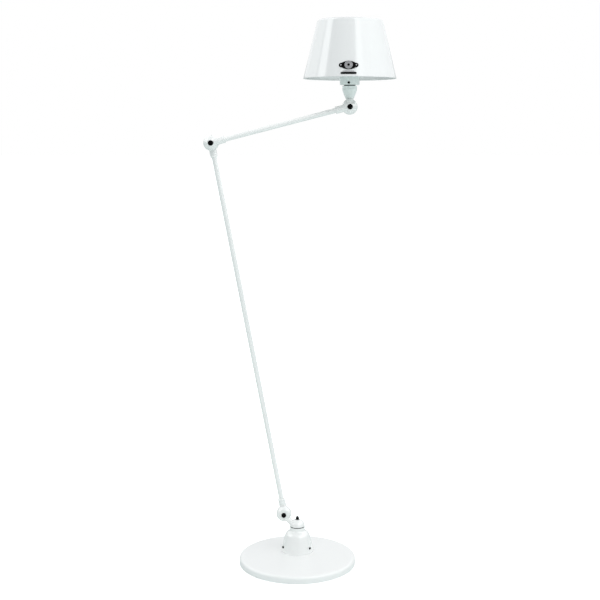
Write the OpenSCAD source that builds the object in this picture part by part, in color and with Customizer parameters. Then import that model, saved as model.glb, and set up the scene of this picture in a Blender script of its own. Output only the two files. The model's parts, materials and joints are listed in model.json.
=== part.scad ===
// Adjustable arm floor lamp: a weighted round base with a bell pedestal, a long arm and a short
// arm on clamped ball knuckles, and a tapered metal shade on a tilting neck.
// Frame: origin at the centre of the base on the floor, +X along the short arm, +Z up.

/* [Base] */
// Diameter of the base cover
base_d = 245; // [220:1:280]
// Height of the base, felt included
base_h = 15; // [15:0.5:20]
// Rounding of the base cover's top edge
base_edge_r = 6; // [4:0.5:7]
// Distance of the swivel axis behind the centre of the base
swivel_back = 30; // [20:1:40]

/* [Pedestal bell] */
// Diameter of the bell where it stands on the base
bell_d = 70; // [68:1:74]
// Height of the bell
bell_h = 52.5; // [52:0.5:54]
// Turn of the three bell screws around the bell
bell_screw_turn = -37; // [-60:1:60]

/* [Knuckles] */
// Diameter of a closed ball knuckle
ball_d = 32; // [31:0.5:33]
// Gap between the two halves of a knuckle, filled by the friction disc
ball_gap = 1.6; // [1:0.1:2]
// Outer diameter of the sleeves that hold the tubes
sleeve_d = 14.6; // [14:0.1:14.6]
// Length of a sleeve, from the knuckle's centre
sleeve_reach = 30; // [28:1:34]
// Diameter of the clamping bolts
bolt_d = 5; // [4.5:0.5:5]

/* [Arms] */
// Diameter of the arm tubes
tube_d = 10; // [9:0.5:10.5]
// Wall of the arm tubes
tube_wall = 1.2; // [1:0.1:1.5]
// Length of the long arm, pivot to pivot
long_arm = 800; // [600:10:900]
// Length of the short arm, pivot to pivot
short_arm = 292; // [280:0.5:400]
// Lean of the long arm to the left of the vertical, at rest
long_lean = 10.6; // [5:0.1:20]
// Rise of the short arm above the horizontal, at rest
short_rise = 14.4; // [0:0.1:25]
// Offset of the lowest knuckle to the left of the swivel axis
link_offset = 28.9; // [27:0.1:32]
// Height of the lowest knuckle above the floor
lower_z = 94.6; // [94:0.1:100]

/* [Shade] */
// Diameter of the shade at its lower rim
shade_low_d = 189.5; // [180:0.5:200]
// Diameter of the shade at its top, before its edge is rounded
shade_top_d = 131.5; // [126:0.5:140]
// Height of the shade
shade_h = 117; // [114:0.5:120]
// Height of the shade's lower rim above the head knuckle
shade_rise = 56.5; // [54:0.5:58]
// Wall of the shade
shade_wall = 1; // [0.8:0.1:1.2]
// Turn of the shade and its badge to the left of the front
shade_turn = 4; // [-30:1:30]

/* [Hidden] */
$fn = 96;

// Base
sheet_t = 1.5;
felt_t = 2;
felt_margin = 3.5;
cover_lift = 0.6;
weight_gap = 0.7;
cord_groove_w = 10;
cord_groove_top = 10.2;
lead_hole_r = 6;
inlet_z = 5.4;
inlet_bore_r = 2.6;
grommet_r = 3.7;
grommet_flange_r = 4.6;
grommet_flange_t = 1.25;

// Bell and the ring that holds it
ring_r = 28;
ring_h = 14;
ring_wall = 5;
ring_floor_t = 2.5;
ring_screw_pcd_r = 16;
ring_screw_r = 2;
ring_screw_head_r = 3.6;
ring_screw_head_h = 2.4;
bell_screw_z = base_h + 11;
bell_screw_head_r = 2.4;
bell_neck_r = 15.8;
bell_web_z = base_h + 34;
bell_web_t = 5;
bell_neck_bore_r = 12.4;
bell_lead_r = 3.2;

// Knuckles
ball_r = ball_d / 2;
ball_flat = ball_r - 1;
ball_wall = 3;
cavity_depth = 10.5;
plane_off = ball_gap / 2 + sleeve_d / 2;
sleeve_start = 6.5;
lip_d = sleeve_d + 0.8;
lip_t = 2.4;
tube_seat = 13;
tube_fit = 0.05;
bolt_fit = 0.05;
lead_bore_r = 3.2;
lead_r = 2.4;
disc_r = ball_r - 0.8;
disc_hole_r = 9.5;
disc_slack = 0.05;
spring_r = 5.5;
spring_t = 1;
bolt_head_r = 4.75;
bolt_head_h = 3.4;
hex_key = 3;
nut_flange_r = 4.9;
nut_flange_t = 1;
nut_flats = 8;
nut_hex_h = 4.2;
nut_dome_r = 2.6;
nut_top = 7.1;
nut_bore_depth = 4;
swivel_nut_size = 0.82;
lower_nut_size = 0.96;
upper_nut_size = 1.12;
link_bulge = 4;

// Places of the joints
swivel_z = base_h + bell_h + ball_gap / 2;
joint_y = swivel_back + plane_off;
rear_y = joint_y + plane_off;
lower_x = -link_offset;
elbow_x = lower_x - long_arm * sin(long_lean);
elbow_z = lower_z + long_arm * cos(long_lean);
head_x = elbow_x + short_arm * cos(short_rise);
head_z = elbow_z + short_arm * sin(short_rise);
long_aim = 90 + long_lean;
neck_d = 12.6;
neck_foot = 6.2;
neck_drop = atan2(lower_z - swivel_z, link_offset - neck_foot);
neck_length = norm([lower_z - swivel_z, link_offset - neck_foot]);

// Head, with heights above the head knuckle
cup_low = 16.4;
cup_low_r = 9;
cup_top = 42;
cup_r = 15;
cup_wall = 2;
neck_stub_r = 6.5;
neck_stub_top = 25;
washer_r = 11.6;
washer_t = 2;
nipple_r = 5;
nipple_bore_r = 3.5;
nipple_low = cup_top - 12;
nut_t = 4;
collar_r = 20;
collar_wall = 2;
collar_low = cup_top + washer_t;
collar_h = 21;
collar_screw_up = 4;
collar_turn = 2 * shade_turn;
holder_r = 17.6;
holder_low = collar_low + collar_wall;
holder_h = 42;
holder_floor = 12;
holder_well_r = 14.6;
shell_wall = 0.9;
contact_r = 6;
contact_t = 1.5;
cap_r = 13.3;
cap_h = 26;
cap_low = holder_low + holder_floor + contact_t + 3.5;
bulb_r = 30;
bulb_wall = 1;
bulb_centre = cap_low + cap_h + 44;
spider_t = 1.8;
spider_arm_w = 7;
spider_hub_r = 24;
spider_tab_h = 9;
spider_tab_t = 1.8;
collar_top = collar_low + collar_h;
shade_ring_h = 5;

// Shade and badge
shade_low_r = shade_low_d / 2;
shade_top_r = shade_top_d / 2;
shade_slope = (shade_low_r - shade_top_r) / shade_h;
shade_tilt = atan(shade_slope);
shade_edge_r = 6;
shade_lip = 3;
badge_up = 20.6;
badge_half_w = 19;
badge_half_h = 8.2;
badge_t = 1;
skin_gap = 0.05;
medallion_r = 8.15;
medallion_t = 1.5;
rivet_x = 15;
rivet_r = 1.5;
plate_ear_r = 4.2;
strip_up = 10.4;
strip_w = 24;
strip_h = 2.4;
bar_up = 6.9;
bar_w = 31.6;
bar_h = 3.8;
plate_t = 0.8;

white_paint = [0.95, 0.96, 0.95];
black_metal = [0.08, 0.08, 0.09];
bare_steel = [0.65, 0.66, 0.68];
brass_tone = [0.78, 0.62, 0.32];
dark_fibre = [0.3, 0.32, 0.33];

// Point at t on the curve from a to c that is pulled towards b.
function curve_point(a, b, c, t) = (1 - t) * (1 - t) * a + 2 * t * (1 - t) * b + t * t * c;

// Points along that curve, both ends included.
function curve(a, b, c, steps) = [for (i = [0:steps]) curve_point(a, b, c, i / steps)];

// Radius of the shade's outside at a height above its lower rim.
function shade_radius(up) = shade_low_r - shade_slope * up;

// Points of an arc about a centre.
function arc(centre, r, from, to, steps) =
    [for (i = [0:steps])
        let (a = from + (to - from) * i / steps)
        [centre[0] + r * cos(a), centre[1] + r * sin(a)]];

// Puts its children at the axis of the base swivel.
module at_swivel() {
    translate([0, swivel_back, 0]) children();
}

// Puts its children at the centre of the shade, at the height of the head knuckle.
module at_head() {
    translate([head_x, rear_y, head_z]) children();
}

// Puts its children at a knuckle's centre.
module at_knuckle(x, z) {
    translate([x, joint_y, z]) children();
}

// Turns +Z to point at an angle above +X, in the plane of the arms.
module aimed(angle) {
    rotate([0, 90 - angle, 0]) children();
}

// Turns +Z towards the front (side -1) or the rear (side 1).
module facing(side) {
    rotate([side > 0 ? -90 : 90, 0, 0]) children();
}

// One half of a knuckle's ball, flat side down and dome up. A bulge makes it fuller in front.
module half_ball(bulge = 0) {
    intersection() {
        union() {
            translate([0, 0, bulge]) sphere(r = ball_r);
            if (bulge > 0) cylinder(r = ball_r, h = bulge);
        }
        translate([0, 0, ball_gap / 2])
            cylinder(r = ball_r + 1, h = ball_flat - ball_gap / 2);
    }
}

// The hollow of half a ball, open at the flat side, with the bolt's hole.
module half_ball_hollow() {
    intersection() {
        sphere(r = ball_r - ball_wall);
        translate([0, 0, -ball_gap])
            cylinder(r = ball_r, h = cavity_depth + ball_gap);
    }
    cylinder(r = bolt_d / 2 + bolt_fit, h = ball_r + 1);
}

// A cast half knuckle with the sleeve that holds a tube.
module arm_socket(side, aim) {
    difference() {
        union() {
            facing(side) half_ball();
            translate([0, side * plane_off, 0]) aimed(aim) {
                translate([0, 0, sleeve_start])
                    cylinder(d = sleeve_d, h = sleeve_reach - sleeve_start);
                translate([0, 0, sleeve_reach - lip_t])
                    cylinder(d = lip_d, h = lip_t);
            }
        }
        facing(side) half_ball_hollow();
        translate([0, side * plane_off, 0]) aimed(aim) {
            cylinder(r = lead_bore_r, h = tube_seat + 1);
            translate([0, 0, tube_seat])
                cylinder(r = tube_d / 2 + tube_fit, h = sleeve_reach);
        }
    }
}

// A tube between two knuckles, in the plane of its sockets.
module arm_tube(length) {
    translate([0, 0, tube_seat]) difference() {
        cylinder(d = tube_d, h = length - 2 * tube_seat);
        translate([0, 0, -1])
            cylinder(r = tube_d / 2 - tube_wall, h = length);
    }
}

// The two-core lead inside an arm, from knuckle to knuckle.
module arm_lead(length) {
    translate([0, 0, tube_seat / 2]) cylinder(r = lead_r, h = length - tube_seat);
}

// Fibre ring that fills the gap between two halves.
module friction_disc() {
    translate([0, 0, -ball_gap / 2]) difference() {
        cylinder(r = disc_r, h = ball_gap - disc_slack);
        translate([0, 0, -1]) cylinder(r = disc_hole_r, h = ball_gap + 2);
    }
}

// Disc spring, standing on z = 0.
module spring_washer() {
    difference() {
        cylinder(r1 = spring_r, r2 = spring_r - 1, h = spring_t);
        translate([0, 0, -1]) cylinder(r = bolt_d / 2 + 2 * bolt_fit, h = spring_t + 2);
    }
}

// Socket-head clamping bolt: the head's underside is at z = 0 and the shank runs down.
module clamp_bolt(shank) {
    difference() {
        union() {
            cylinder(r = bolt_head_r, h = bolt_head_h);
            translate([0, 0, -shank]) cylinder(d = bolt_d, h = shank + 1);
        }
        translate([0, 0, bolt_head_h - 2])
            cylinder(d = hex_key / cos(30), h = 3, $fn = 6);
    }
}

// Flanged dome nut, seated on z = 0. size scales it across.
module cap_nut(size = 1) {
    difference() {
        union() {
            cylinder(r = size * nut_flange_r, h = nut_flange_t);
            cylinder(d = size * nut_flats / cos(30), h = nut_hex_h, $fn = 6);
            cylinder(r = nut_dome_r, h = nut_top - nut_dome_r / 2);
            translate([0, 0, nut_top - nut_dome_r / 2])
                cylinder(r1 = nut_dome_r, r2 = nut_dome_r / 2, h = nut_dome_r / 2);
        }
        translate([0, 0, -1]) cylinder(r = bolt_d / 2 + bolt_fit, h = nut_bore_depth + 1);
    }
}

// A knuckle's bolt, which enters from the rear.
module knuckle_bolt() {
    facing(1) translate([0, 0, ball_flat + spring_t])
        clamp_bolt(2 * ball_flat + spring_t + nut_bore_depth - 1);
}

// The disc spring under that bolt's head.
module knuckle_spring() {
    facing(1) translate([0, 0, ball_flat]) spring_washer();
}

// The dome nut on the knuckle's front.
module knuckle_nut(size) {
    facing(-1) translate([0, 0, ball_flat]) cap_nut(size);
}

// The friction disc between the knuckle's halves.
module knuckle_disc() {
    facing(1) friction_disc();
}

// The three places of the screws that hold the ring to the base.
module at_ring_screws() {
    at_swivel() for (i = [0:2])
        rotate([0, 0, 30 + 120 * i]) translate([ring_screw_pcd_r, 0, 0]) children();
}

// The three places of the bell screws, with +Z pointing outwards.
module at_bell_screws() {
    at_swivel() for (i = [0:2])
        rotate([0, 0, bell_screw_turn + 120 * i]) translate([0, 0, bell_screw_z])
            rotate([0, 90, 0]) children();
}

module base_cover() {
    r = base_d / 2;
    edge = base_edge_r;
    color(white_paint) difference() {
        rotate_extrude() polygon(concat(
            [[r - sheet_t, cover_lift], [r, cover_lift]],
            arc([r - edge, base_h - edge], edge, 0, 90, 12),
            [[0, base_h], [0, base_h - sheet_t]],
            arc([r - edge, base_h - edge], edge - sheet_t, 90, 0, 12)));
        at_swivel() cylinder(r = lead_hole_r, h = 2 * base_h);
        at_ring_screws() cylinder(r = ring_screw_r + 0.2, h = 2 * base_h);
        translate([0, 0, inlet_z]) rotate([-90, 0, 0])
            cylinder(r = grommet_r + 0.05, h = base_d);
    }
}

module base_weight() {
    r = base_d / 2 - sheet_t - weight_gap;
    top = base_h - sheet_t;
    chamfer = base_edge_r - 1;
    color([0.25, 0.25, 0.26]) difference() {
        rotate_extrude() polygon([[0, felt_t], [r, felt_t], [r, top - chamfer],
            [r - chamfer, top], [0, top]]);
        at_swivel() cylinder(r = lead_hole_r, h = 2 * base_h);
        at_ring_screws() translate([0, 0, felt_t + 2])
            cylinder(r = ring_screw_r + bolt_fit, h = base_h);
        translate([-cord_groove_w / 2, swivel_back, 0])
            cube([cord_groove_w, base_d, cord_groove_top]);
    }
}

module base_felt() {
    color([0.12, 0.12, 0.12]) cylinder(r = base_d / 2 - felt_margin, h = felt_t);
}

module cable_grommet() {
    color([0.1, 0.1, 0.1]) translate([0, base_d / 2, inlet_z]) rotate([-90, 0, 0]) difference() {
        union() {
            translate([0, 0, -2.8]) cylinder(r = grommet_r, h = 3.2);
            translate([0, 0, 0.05]) cylinder(r = grommet_flange_r, h = grommet_flange_t);
            translate([0, 0, -2.9]) cylinder(r = grommet_flange_r, h = 1.1);
        }
        translate([0, 0, -4]) cylinder(r = inlet_bore_r, h = 8);
    }
}

module mount_ring() {
    color(bare_steel) difference() {
        at_swivel() difference() {
            translate([0, 0, base_h]) cylinder(r = ring_r, h = ring_h);
            translate([0, 0, base_h + ring_floor_t])
                cylinder(r = ring_r - ring_wall, h = ring_h);
            cylinder(r = lead_hole_r, h = 2 * base_h);
        }
        at_ring_screws() cylinder(r = ring_screw_r + 0.2, h = 2 * base_h);
        at_bell_screws() cylinder(r = ring_screw_r - 0.4 + bolt_fit, h = bell_d);
    }
}

module ring_screws() {
    seat = base_h + ring_floor_t;
    color(bare_steel) at_ring_screws() {
        translate([0, 0, seat]) difference() {
            cylinder(r = ring_screw_head_r, h = ring_screw_head_h);
            translate([0, 0, ring_screw_head_h - 1.4])
                cylinder(d = hex_key, h = 2, $fn = 6);
        }
        translate([0, 0, felt_t + 3]) cylinder(r = ring_screw_r, h = seat - felt_t - 3);
    }
}

module pedestal_bell() {
    r = bell_d / 2;
    top = base_h + bell_h;
    color(white_paint) difference() {
        at_swivel() difference() {
            rotate_extrude() polygon(concat(
                [[0, base_h]],
                curve([r, base_h], [r - 2.5, base_h + 13], [r - 9, base_h + 35], 12),
                curve([r - 9, base_h + 35], [r - 10.5, base_h + 40], [r - 17.5, top - 8.5], 8),
                curve([r - 17.5, top - 8.5], [bell_neck_r, top - 7.3], [bell_neck_r, top - 4], 5),
                [[bell_neck_r, top], [0, top]]));
            rotate_extrude() polygon(concat(
                [[0, 0], [r - 3.5, 0]],
                curve([r - 3.5, base_h - 0.1], [r - 5.8, base_h + 13], [r - 12.5, bell_web_z], 12),
                [[0, bell_web_z]]));
            translate([0, 0, bell_web_z + bell_web_t])
                cylinder(r = bell_neck_bore_r, h = bell_h);
            cylinder(r = bolt_d / 2 + bolt_fit, h = 2 * bell_h);
            translate([-8, 0, 0]) cylinder(r = bell_lead_r, h = 2 * bell_h);
        }
        at_bell_screws() cylinder(r = ring_screw_r - 0.2, h = bell_d);
    }
}

module bell_screws() {
    tip = ring_r - ring_wall + 0.5;
    head_seat = bell_d / 2 - 1.9;
    color(black_metal) at_bell_screws() {
        translate([0, 0, tip]) cylinder(r = ring_screw_r - 0.4, h = head_seat - tip);
        translate([0, 0, head_seat]) difference() {
            cylinder(r1 = bell_screw_head_r, r2 = bell_screw_head_r - 0.6, h = 1.8);
            translate([0, 0, 0.8]) cylinder(d = 2.3, h = 2, $fn = 6);
        }
    }
}

module swivel_bolt() {
    color(bare_steel) at_swivel() translate([0, 0, bell_web_z - spring_t]) mirror([0, 0, 1])
        clamp_bolt(swivel_z + ball_flat - bell_web_z + spring_t + nut_bore_depth - 1);
}

module swivel_spring_washer() {
    color(bare_steel) at_swivel() translate([0, 0, bell_web_z]) mirror([0, 0, 1])
        spring_washer();
}

module swivel_friction_disc() {
    color(dark_fibre) at_swivel() translate([0, 0, swivel_z]) friction_disc();
}

module swivel_cap_nut() {
    color(black_metal) at_swivel() translate([0, 0, swivel_z + ball_flat])
        cap_nut(swivel_nut_size);
}

module swivel_link() {
    color(white_paint) difference() {
        union() {
            at_swivel() translate([0, 0, swivel_z]) half_ball();
            at_knuckle(lower_x, lower_z) facing(-1) half_ball(link_bulge);
            intersection() {
                translate([lower_x, swivel_back, lower_z]) aimed(-neck_drop)
                    translate([0, 0, sleeve_start]) cylinder(d = neck_d, h = neck_length);
                translate([lower_x, swivel_back - ball_r, swivel_z + ball_gap / 2])
                    cube([link_offset + 2, ball_d, ball_d]);
            }
        }
        at_swivel() translate([0, 0, swivel_z]) half_ball_hollow();
        at_knuckle(lower_x, lower_z) facing(-1) half_ball_hollow();
        translate([lower_x, swivel_back, lower_z]) aimed(-neck_drop)
            cylinder(r = lead_bore_r, h = neck_length);
    }
}

module lower_friction_disc() {
    color(dark_fibre) at_knuckle(lower_x, lower_z) knuckle_disc();
}

module lower_bolt() {
    color(bare_steel) at_knuckle(lower_x, lower_z) knuckle_bolt();
}

module lower_spring_washer() {
    color(bare_steel) at_knuckle(lower_x, lower_z) knuckle_spring();
}

module lower_cap_nut() {
    color(black_metal) at_knuckle(lower_x, lower_z) knuckle_nut(lower_nut_size);
}

module lower_arm_socket() {
    color(white_paint) at_knuckle(lower_x, lower_z) arm_socket(1, long_aim);
}

module long_tube() {
    color(white_paint) translate([lower_x, rear_y, lower_z]) aimed(long_aim)
        arm_tube(long_arm);
}

module long_arm_lead() {
    color(black_metal) translate([lower_x, rear_y, lower_z]) aimed(long_aim)
        arm_lead(long_arm);
}

module elbow_rear_socket() {
    color(white_paint) at_knuckle(elbow_x, elbow_z) arm_socket(1, long_aim + 180);
}

module elbow_front_socket() {
    color(white_paint) at_knuckle(elbow_x, elbow_z) arm_socket(-1, short_rise);
}

module elbow_friction_disc() {
    color(dark_fibre) at_knuckle(elbow_x, elbow_z) knuckle_disc();
}

module elbow_bolt() {
    color(bare_steel) at_knuckle(elbow_x, elbow_z) knuckle_bolt();
}

module elbow_spring_washer() {
    color(bare_steel) at_knuckle(elbow_x, elbow_z) knuckle_spring();
}

module elbow_cap_nut() {
    color(black_metal) at_knuckle(elbow_x, elbow_z) knuckle_nut(upper_nut_size);
}

module short_tube() {
    color(white_paint) translate([elbow_x, swivel_back, elbow_z]) aimed(short_rise)
        arm_tube(short_arm);
}

module short_arm_lead() {
    color(black_metal) translate([elbow_x, swivel_back, elbow_z]) aimed(short_rise)
        arm_lead(short_arm);
}

module head_front_socket() {
    color(white_paint) at_knuckle(head_x, head_z) arm_socket(-1, short_rise + 180);
}

module head_friction_disc() {
    color(dark_fibre) at_knuckle(head_x, head_z) knuckle_disc();
}

module head_bolt() {
    color(bare_steel) at_knuckle(head_x, head_z) knuckle_bolt();
}

module head_spring_washer() {
    color(bare_steel) at_knuckle(head_x, head_z) knuckle_spring();
}

module head_cap_nut() {
    color(black_metal) at_knuckle(head_x, head_z) knuckle_nut(upper_nut_size);
}

module head_neck() {
    color(white_paint) difference() {
        union() {
            at_knuckle(head_x, head_z) facing(1) half_ball();
            at_head() translate([0, 0, sleeve_start])
                cylinder(d = sleeve_d, h = cup_low - sleeve_start);
            at_head() cylinder(r = neck_stub_r, h = neck_stub_top);
        }
        at_knuckle(head_x, head_z) facing(1) half_ball_hollow();
        at_head() cylinder(r = lead_bore_r, h = neck_stub_top + 1);
    }
}

module socket_cup() {
    color(white_paint) at_head() difference() {
        rotate_extrude() polygon(concat(
            [[0, cup_low]],
            curve([cup_low_r, cup_low], [cup_r - 1.2, cup_top - 12], [cup_r, cup_top - 8], 8),
            [[cup_r, cup_top - 0.6], [cup_r - 0.6, cup_top], [0, cup_top]]));
        translate([0, 0, cup_low - 1])
            cylinder(r = neck_stub_r + tube_fit, h = neck_stub_top - cup_low + 1);
        translate([0, 0, neck_stub_top - 1])
            cylinder(r = cup_r - cup_wall - 3, h = cup_top - cup_wall - neck_stub_top + 1);
        cylinder(r = nipple_r + tube_fit, h = 2 * cup_top);
    }
}

module holder_washer() {
    color(dark_fibre) at_head() translate([0, 0, cup_top]) difference() {
        cylinder(r = washer_r, h = washer_t);
        translate([0, 0, -1]) cylinder(r = nipple_r + tube_fit, h = washer_t + 2);
    }
}

module holder_nipple() {
    color(brass_tone) at_head() translate([0, 0, nipple_low]) difference() {
        cylinder(r = nipple_r, h = holder_low + 5 - nipple_low);
        translate([0, 0, -1]) cylinder(r = nipple_bore_r, h = 2 * cup_top);
    }
}

module nipple_nut() {
    color(brass_tone) at_head() translate([0, 0, cup_top - cup_wall - nut_t]) difference() {
        cylinder(d = 2 * (nipple_r + 3), h = nut_t, $fn = 6);
        translate([0, 0, -1]) cylinder(r = nipple_r + tube_fit, h = nut_t + 2);
    }
}

module collar() {
    color(white_paint) difference() {
        at_head() translate([0, 0, collar_low]) difference() {
            cylinder(r = collar_r, h = collar_h);
            translate([0, 0, collar_wall]) cylinder(r = collar_r - collar_wall, h = collar_h);
            translate([0, 0, -1]) cylinder(r = nipple_r + tube_fit, h = collar_h);
        }
        at_head() rotate([0, 0, -collar_turn])
            translate([0, 0, collar_low + collar_screw_up]) rotate([90, 0, 0])
                cylinder(r = 1.55, h = 2 * collar_r);
    }
}

module collar_screw() {
    color(black_metal) at_head() rotate([0, 0, -collar_turn])
        translate([0, 0, collar_low + collar_screw_up]) rotate([90, 0, 0]) difference() {
            union() {
                translate([0, 0, holder_r + 0.1]) cylinder(r = 1.5, h = collar_r - holder_r);
                translate([0, 0, collar_r + 0.05]) cylinder(r1 = 2.4, r2 = 1.9, h = 1.5);
            }
            translate([0, 0, collar_r + 0.8]) cylinder(d = 2.2, h = 2, $fn = 6);
        }
}

module lampholder_body() {
    color([0.9, 0.89, 0.86]) at_head() translate([0, 0, holder_low]) difference() {
        cylinder(r = holder_r, h = holder_h);
        translate([0, 0, holder_floor]) cylinder(r = holder_well_r, h = holder_h);
        translate([0, 0, -1]) cylinder(r = nipple_r + tube_fit, h = 6);
        translate([0, 0, -1]) cylinder(r = lead_r, h = holder_h);
    }
}

module lampholder_shell() {
    color(brass_tone) at_head() translate([0, 0, holder_low + holder_floor + 2]) difference() {
        cylinder(r = holder_well_r - 0.1, h = holder_h - holder_floor - 4);
        translate([0, 0, -1])
            cylinder(r = holder_well_r - 0.1 - shell_wall, h = holder_h);
    }
}

module lampholder_contact() {
    color(brass_tone) at_head() translate([0, 0, holder_low + holder_floor])
        cylinder(r = contact_r, h = contact_t);
}

module bulb_cap() {
    color(bare_steel) at_head() union() {
        translate([0, 0, cap_low]) cylinder(r = cap_r, h = cap_h);
        translate([0, 0, holder_low + holder_floor + contact_t]) cylinder(r = 4.5, h = 4);
    }
}

// Outline of the bulb, drawn in by inset.
module bulb_outline(inset) {
    r = bulb_r - inset;
    polygon(concat(
        [[0, cap_low + cap_h], [cap_r - inset, cap_low + cap_h]],
        curve([cap_r - inset, cap_low + cap_h], [cap_r + 1 - inset, bulb_centre - 29],
            [r * cos(-35), bulb_centre + r * sin(-35)], 8),
        arc([0, bulb_centre], r, -33, 90, 20)));
}

module bulb_glass() {
    color([0.97, 0.97, 0.94]) at_head() rotate_extrude() difference() {
        bulb_outline(0);
        bulb_outline(bulb_wall);
    }
}

module shade_spider() {
    low = collar_top;
    outer = shade_radius(low - shade_rise) - shade_wall - 0.15;
    tab_lean = shade_slope * spider_tab_h;
    color(white_paint) at_head() difference() {
        union() {
            translate([0, 0, low]) cylinder(r = spider_hub_r, h = spider_t);
            for (i = [0:2]) rotate([0, 0, 30 + 120 * i]) {
                translate([0, -spider_arm_w / 2, low])
                    cube([outer - spider_tab_t / 2 - 1, spider_arm_w, spider_t]);
                translate([0, spider_arm_w / 2, 0]) rotate([90, 0, 0])
                    linear_extrude(height = spider_arm_w) polygon([
                        [outer - spider_tab_t, low], [outer, low],
                        [outer - tab_lean, low + spider_tab_h],
                        [outer - spider_tab_t - tab_lean, low + spider_tab_h]]);
            }
        }
        cylinder(r = holder_r + 0.1, h = 2 * low);
    }
}

module shade_ring() {
    color([0.88, 0.87, 0.84]) at_head() translate([0, 0, collar_top + spider_t]) difference() {
        cylinder(r = holder_r + 4, h = shade_ring_h);
        translate([0, 0, -1]) cylinder(r = holder_r + tube_fit, h = shade_ring_h + 2);
    }
}

module shade() {
    top = shade_h;
    edge = shade_edge_r;
    edge_low = top - edge + edge * sin(shade_tilt);
    centre = [shade_radius(edge_low) - edge * cos(shade_tilt), top - edge];
    color(white_paint) at_head() translate([0, 0, shade_rise]) rotate_extrude($fn = 180)
        polygon(concat(
            [[shade_low_r - shade_wall, 0], [shade_low_r, 0]],
            arc(centre, edge, shade_tilt, 90, 8),
            [[centre[0] - shade_lip, top], [centre[0] - shade_lip, top - shade_wall]],
            arc(centre, edge - shade_wall, 90, shade_tilt, 8)));
}

// A thin skin that lies on the front of the shade, cut to its children's outline.
module shade_skin(up, thick) {
    lift = skin_gap;
    at_head() rotate([0, 0, -shade_turn]) intersection() {
        translate([0, 0, shade_rise]) difference() {
            cylinder(r1 = shade_low_r + lift + thick, r2 = shade_top_r + lift + thick,
                h = shade_h, $fn = 180);
            cylinder(r1 = shade_low_r + lift, r2 = shade_top_r + lift, h = shade_h, $fn = 180);
        }
        translate([0, 0, shade_rise + up]) rotate([90, 0, 0])
            linear_extrude(height = 2 * shade_low_r) children();
    }
}

// Puts its children on the front of the shade, with +Z standing off it.
module on_shade(x, up, off) {
    r = shade_radius(up);
    turn = asin(x / r) - shade_turn;
    at_head() translate([0, 0, shade_rise + up]) rotate([0, 0, turn])
        translate([0, -r, 0]) rotate([90 - shade_tilt, 0, 0])
            translate([0, 0, off]) children();
}

// A bar with round ends.
module round_bar(width, height) {
    square([width - height, height], center = true);
    for (side = [-1, 1]) translate([side * (width - height) / 2, 0]) circle(d = height);
}

module badge_plate() {
    lens_r = (badge_half_w ^ 2 + badge_half_h ^ 2) / (2 * badge_half_h);
    color(black_metal) shade_skin(badge_up, badge_t) union() {
        intersection() {
            translate([0, lens_r - badge_half_h]) circle(r = lens_r);
            translate([0, badge_half_h - lens_r]) circle(r = lens_r);
        }
        for (side = [-1, 1]) translate([side * rivet_x, 0]) circle(r = plate_ear_r);
    }
}

module badge_medallion() {
    r = medallion_r;
    t = medallion_t;
    color(bare_steel) on_shade(0, badge_up, skin_gap + badge_t + 0.05) rotate_extrude()
        polygon([[0, 0], [r, 0], [r, t - 0.3], [r - 0.3, t], [r - 1.3, t], [r - 1.6, t - 0.5],
            [r / 2 + 0.3, t - 0.5], [r / 2, t - 0.1], [r / 2 - 0.7, t - 0.1], [r / 2 - 1, t - 0.5],
            [0, t - 0.5]]);
}

module badge_rivets() {
    color(bare_steel) for (side = [-1, 1])
        on_shade(side * rivet_x, badge_up, skin_gap + badge_t + 0.02) intersection() {
            translate([0, 0, -rivet_r / 3]) sphere(r = rivet_r);
            cylinder(r = rivet_r, h = rivet_r);
        }
}

module badge_strip() {
    color(bare_steel) shade_skin(strip_up, plate_t) round_bar(strip_w, strip_h);
}

module badge_bar() {
    color(black_metal) shade_skin(bar_up, plate_t) round_bar(bar_w, bar_h);
}

base_cover();
base_weight();
base_felt();
cable_grommet();
mount_ring();
ring_screws();
pedestal_bell();
bell_screws();
swivel_bolt();
swivel_spring_washer();
swivel_friction_disc();
swivel_cap_nut();
swivel_link();
lower_friction_disc();
lower_bolt();
lower_spring_washer();
lower_cap_nut();
lower_arm_socket();
long_tube();
long_arm_lead();
elbow_rear_socket();
elbow_front_socket();
elbow_friction_disc();
elbow_bolt();
elbow_spring_washer();
elbow_cap_nut();
short_tube();
short_arm_lead();
head_front_socket();
head_friction_disc();
head_bolt();
head_spring_washer();
head_cap_nut();
head_neck();
socket_cup();
holder_washer();
holder_nipple();
nipple_nut();
collar();
collar_screw();
lampholder_body();
lampholder_shell();
lampholder_contact();
bulb_cap();
bulb_glass();
shade_spider();
shade_ring();
shade();
badge_plate();
badge_medallion();
badge_rivets();
badge_strip();
badge_bar();
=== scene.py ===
"""Looks of the adjustable arm floor lamp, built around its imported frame.

Every sub-assembly is a class whose fields hold its sizes. Its build method models the pieces
with Blender's own operators, dresses them and hands them to the body that they ride on.
"""

import json
import logging
import math
from dataclasses import dataclass, field
from enum import Enum
from typing import Sequence

import bpy
from mathutils import Matrix, Vector


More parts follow.
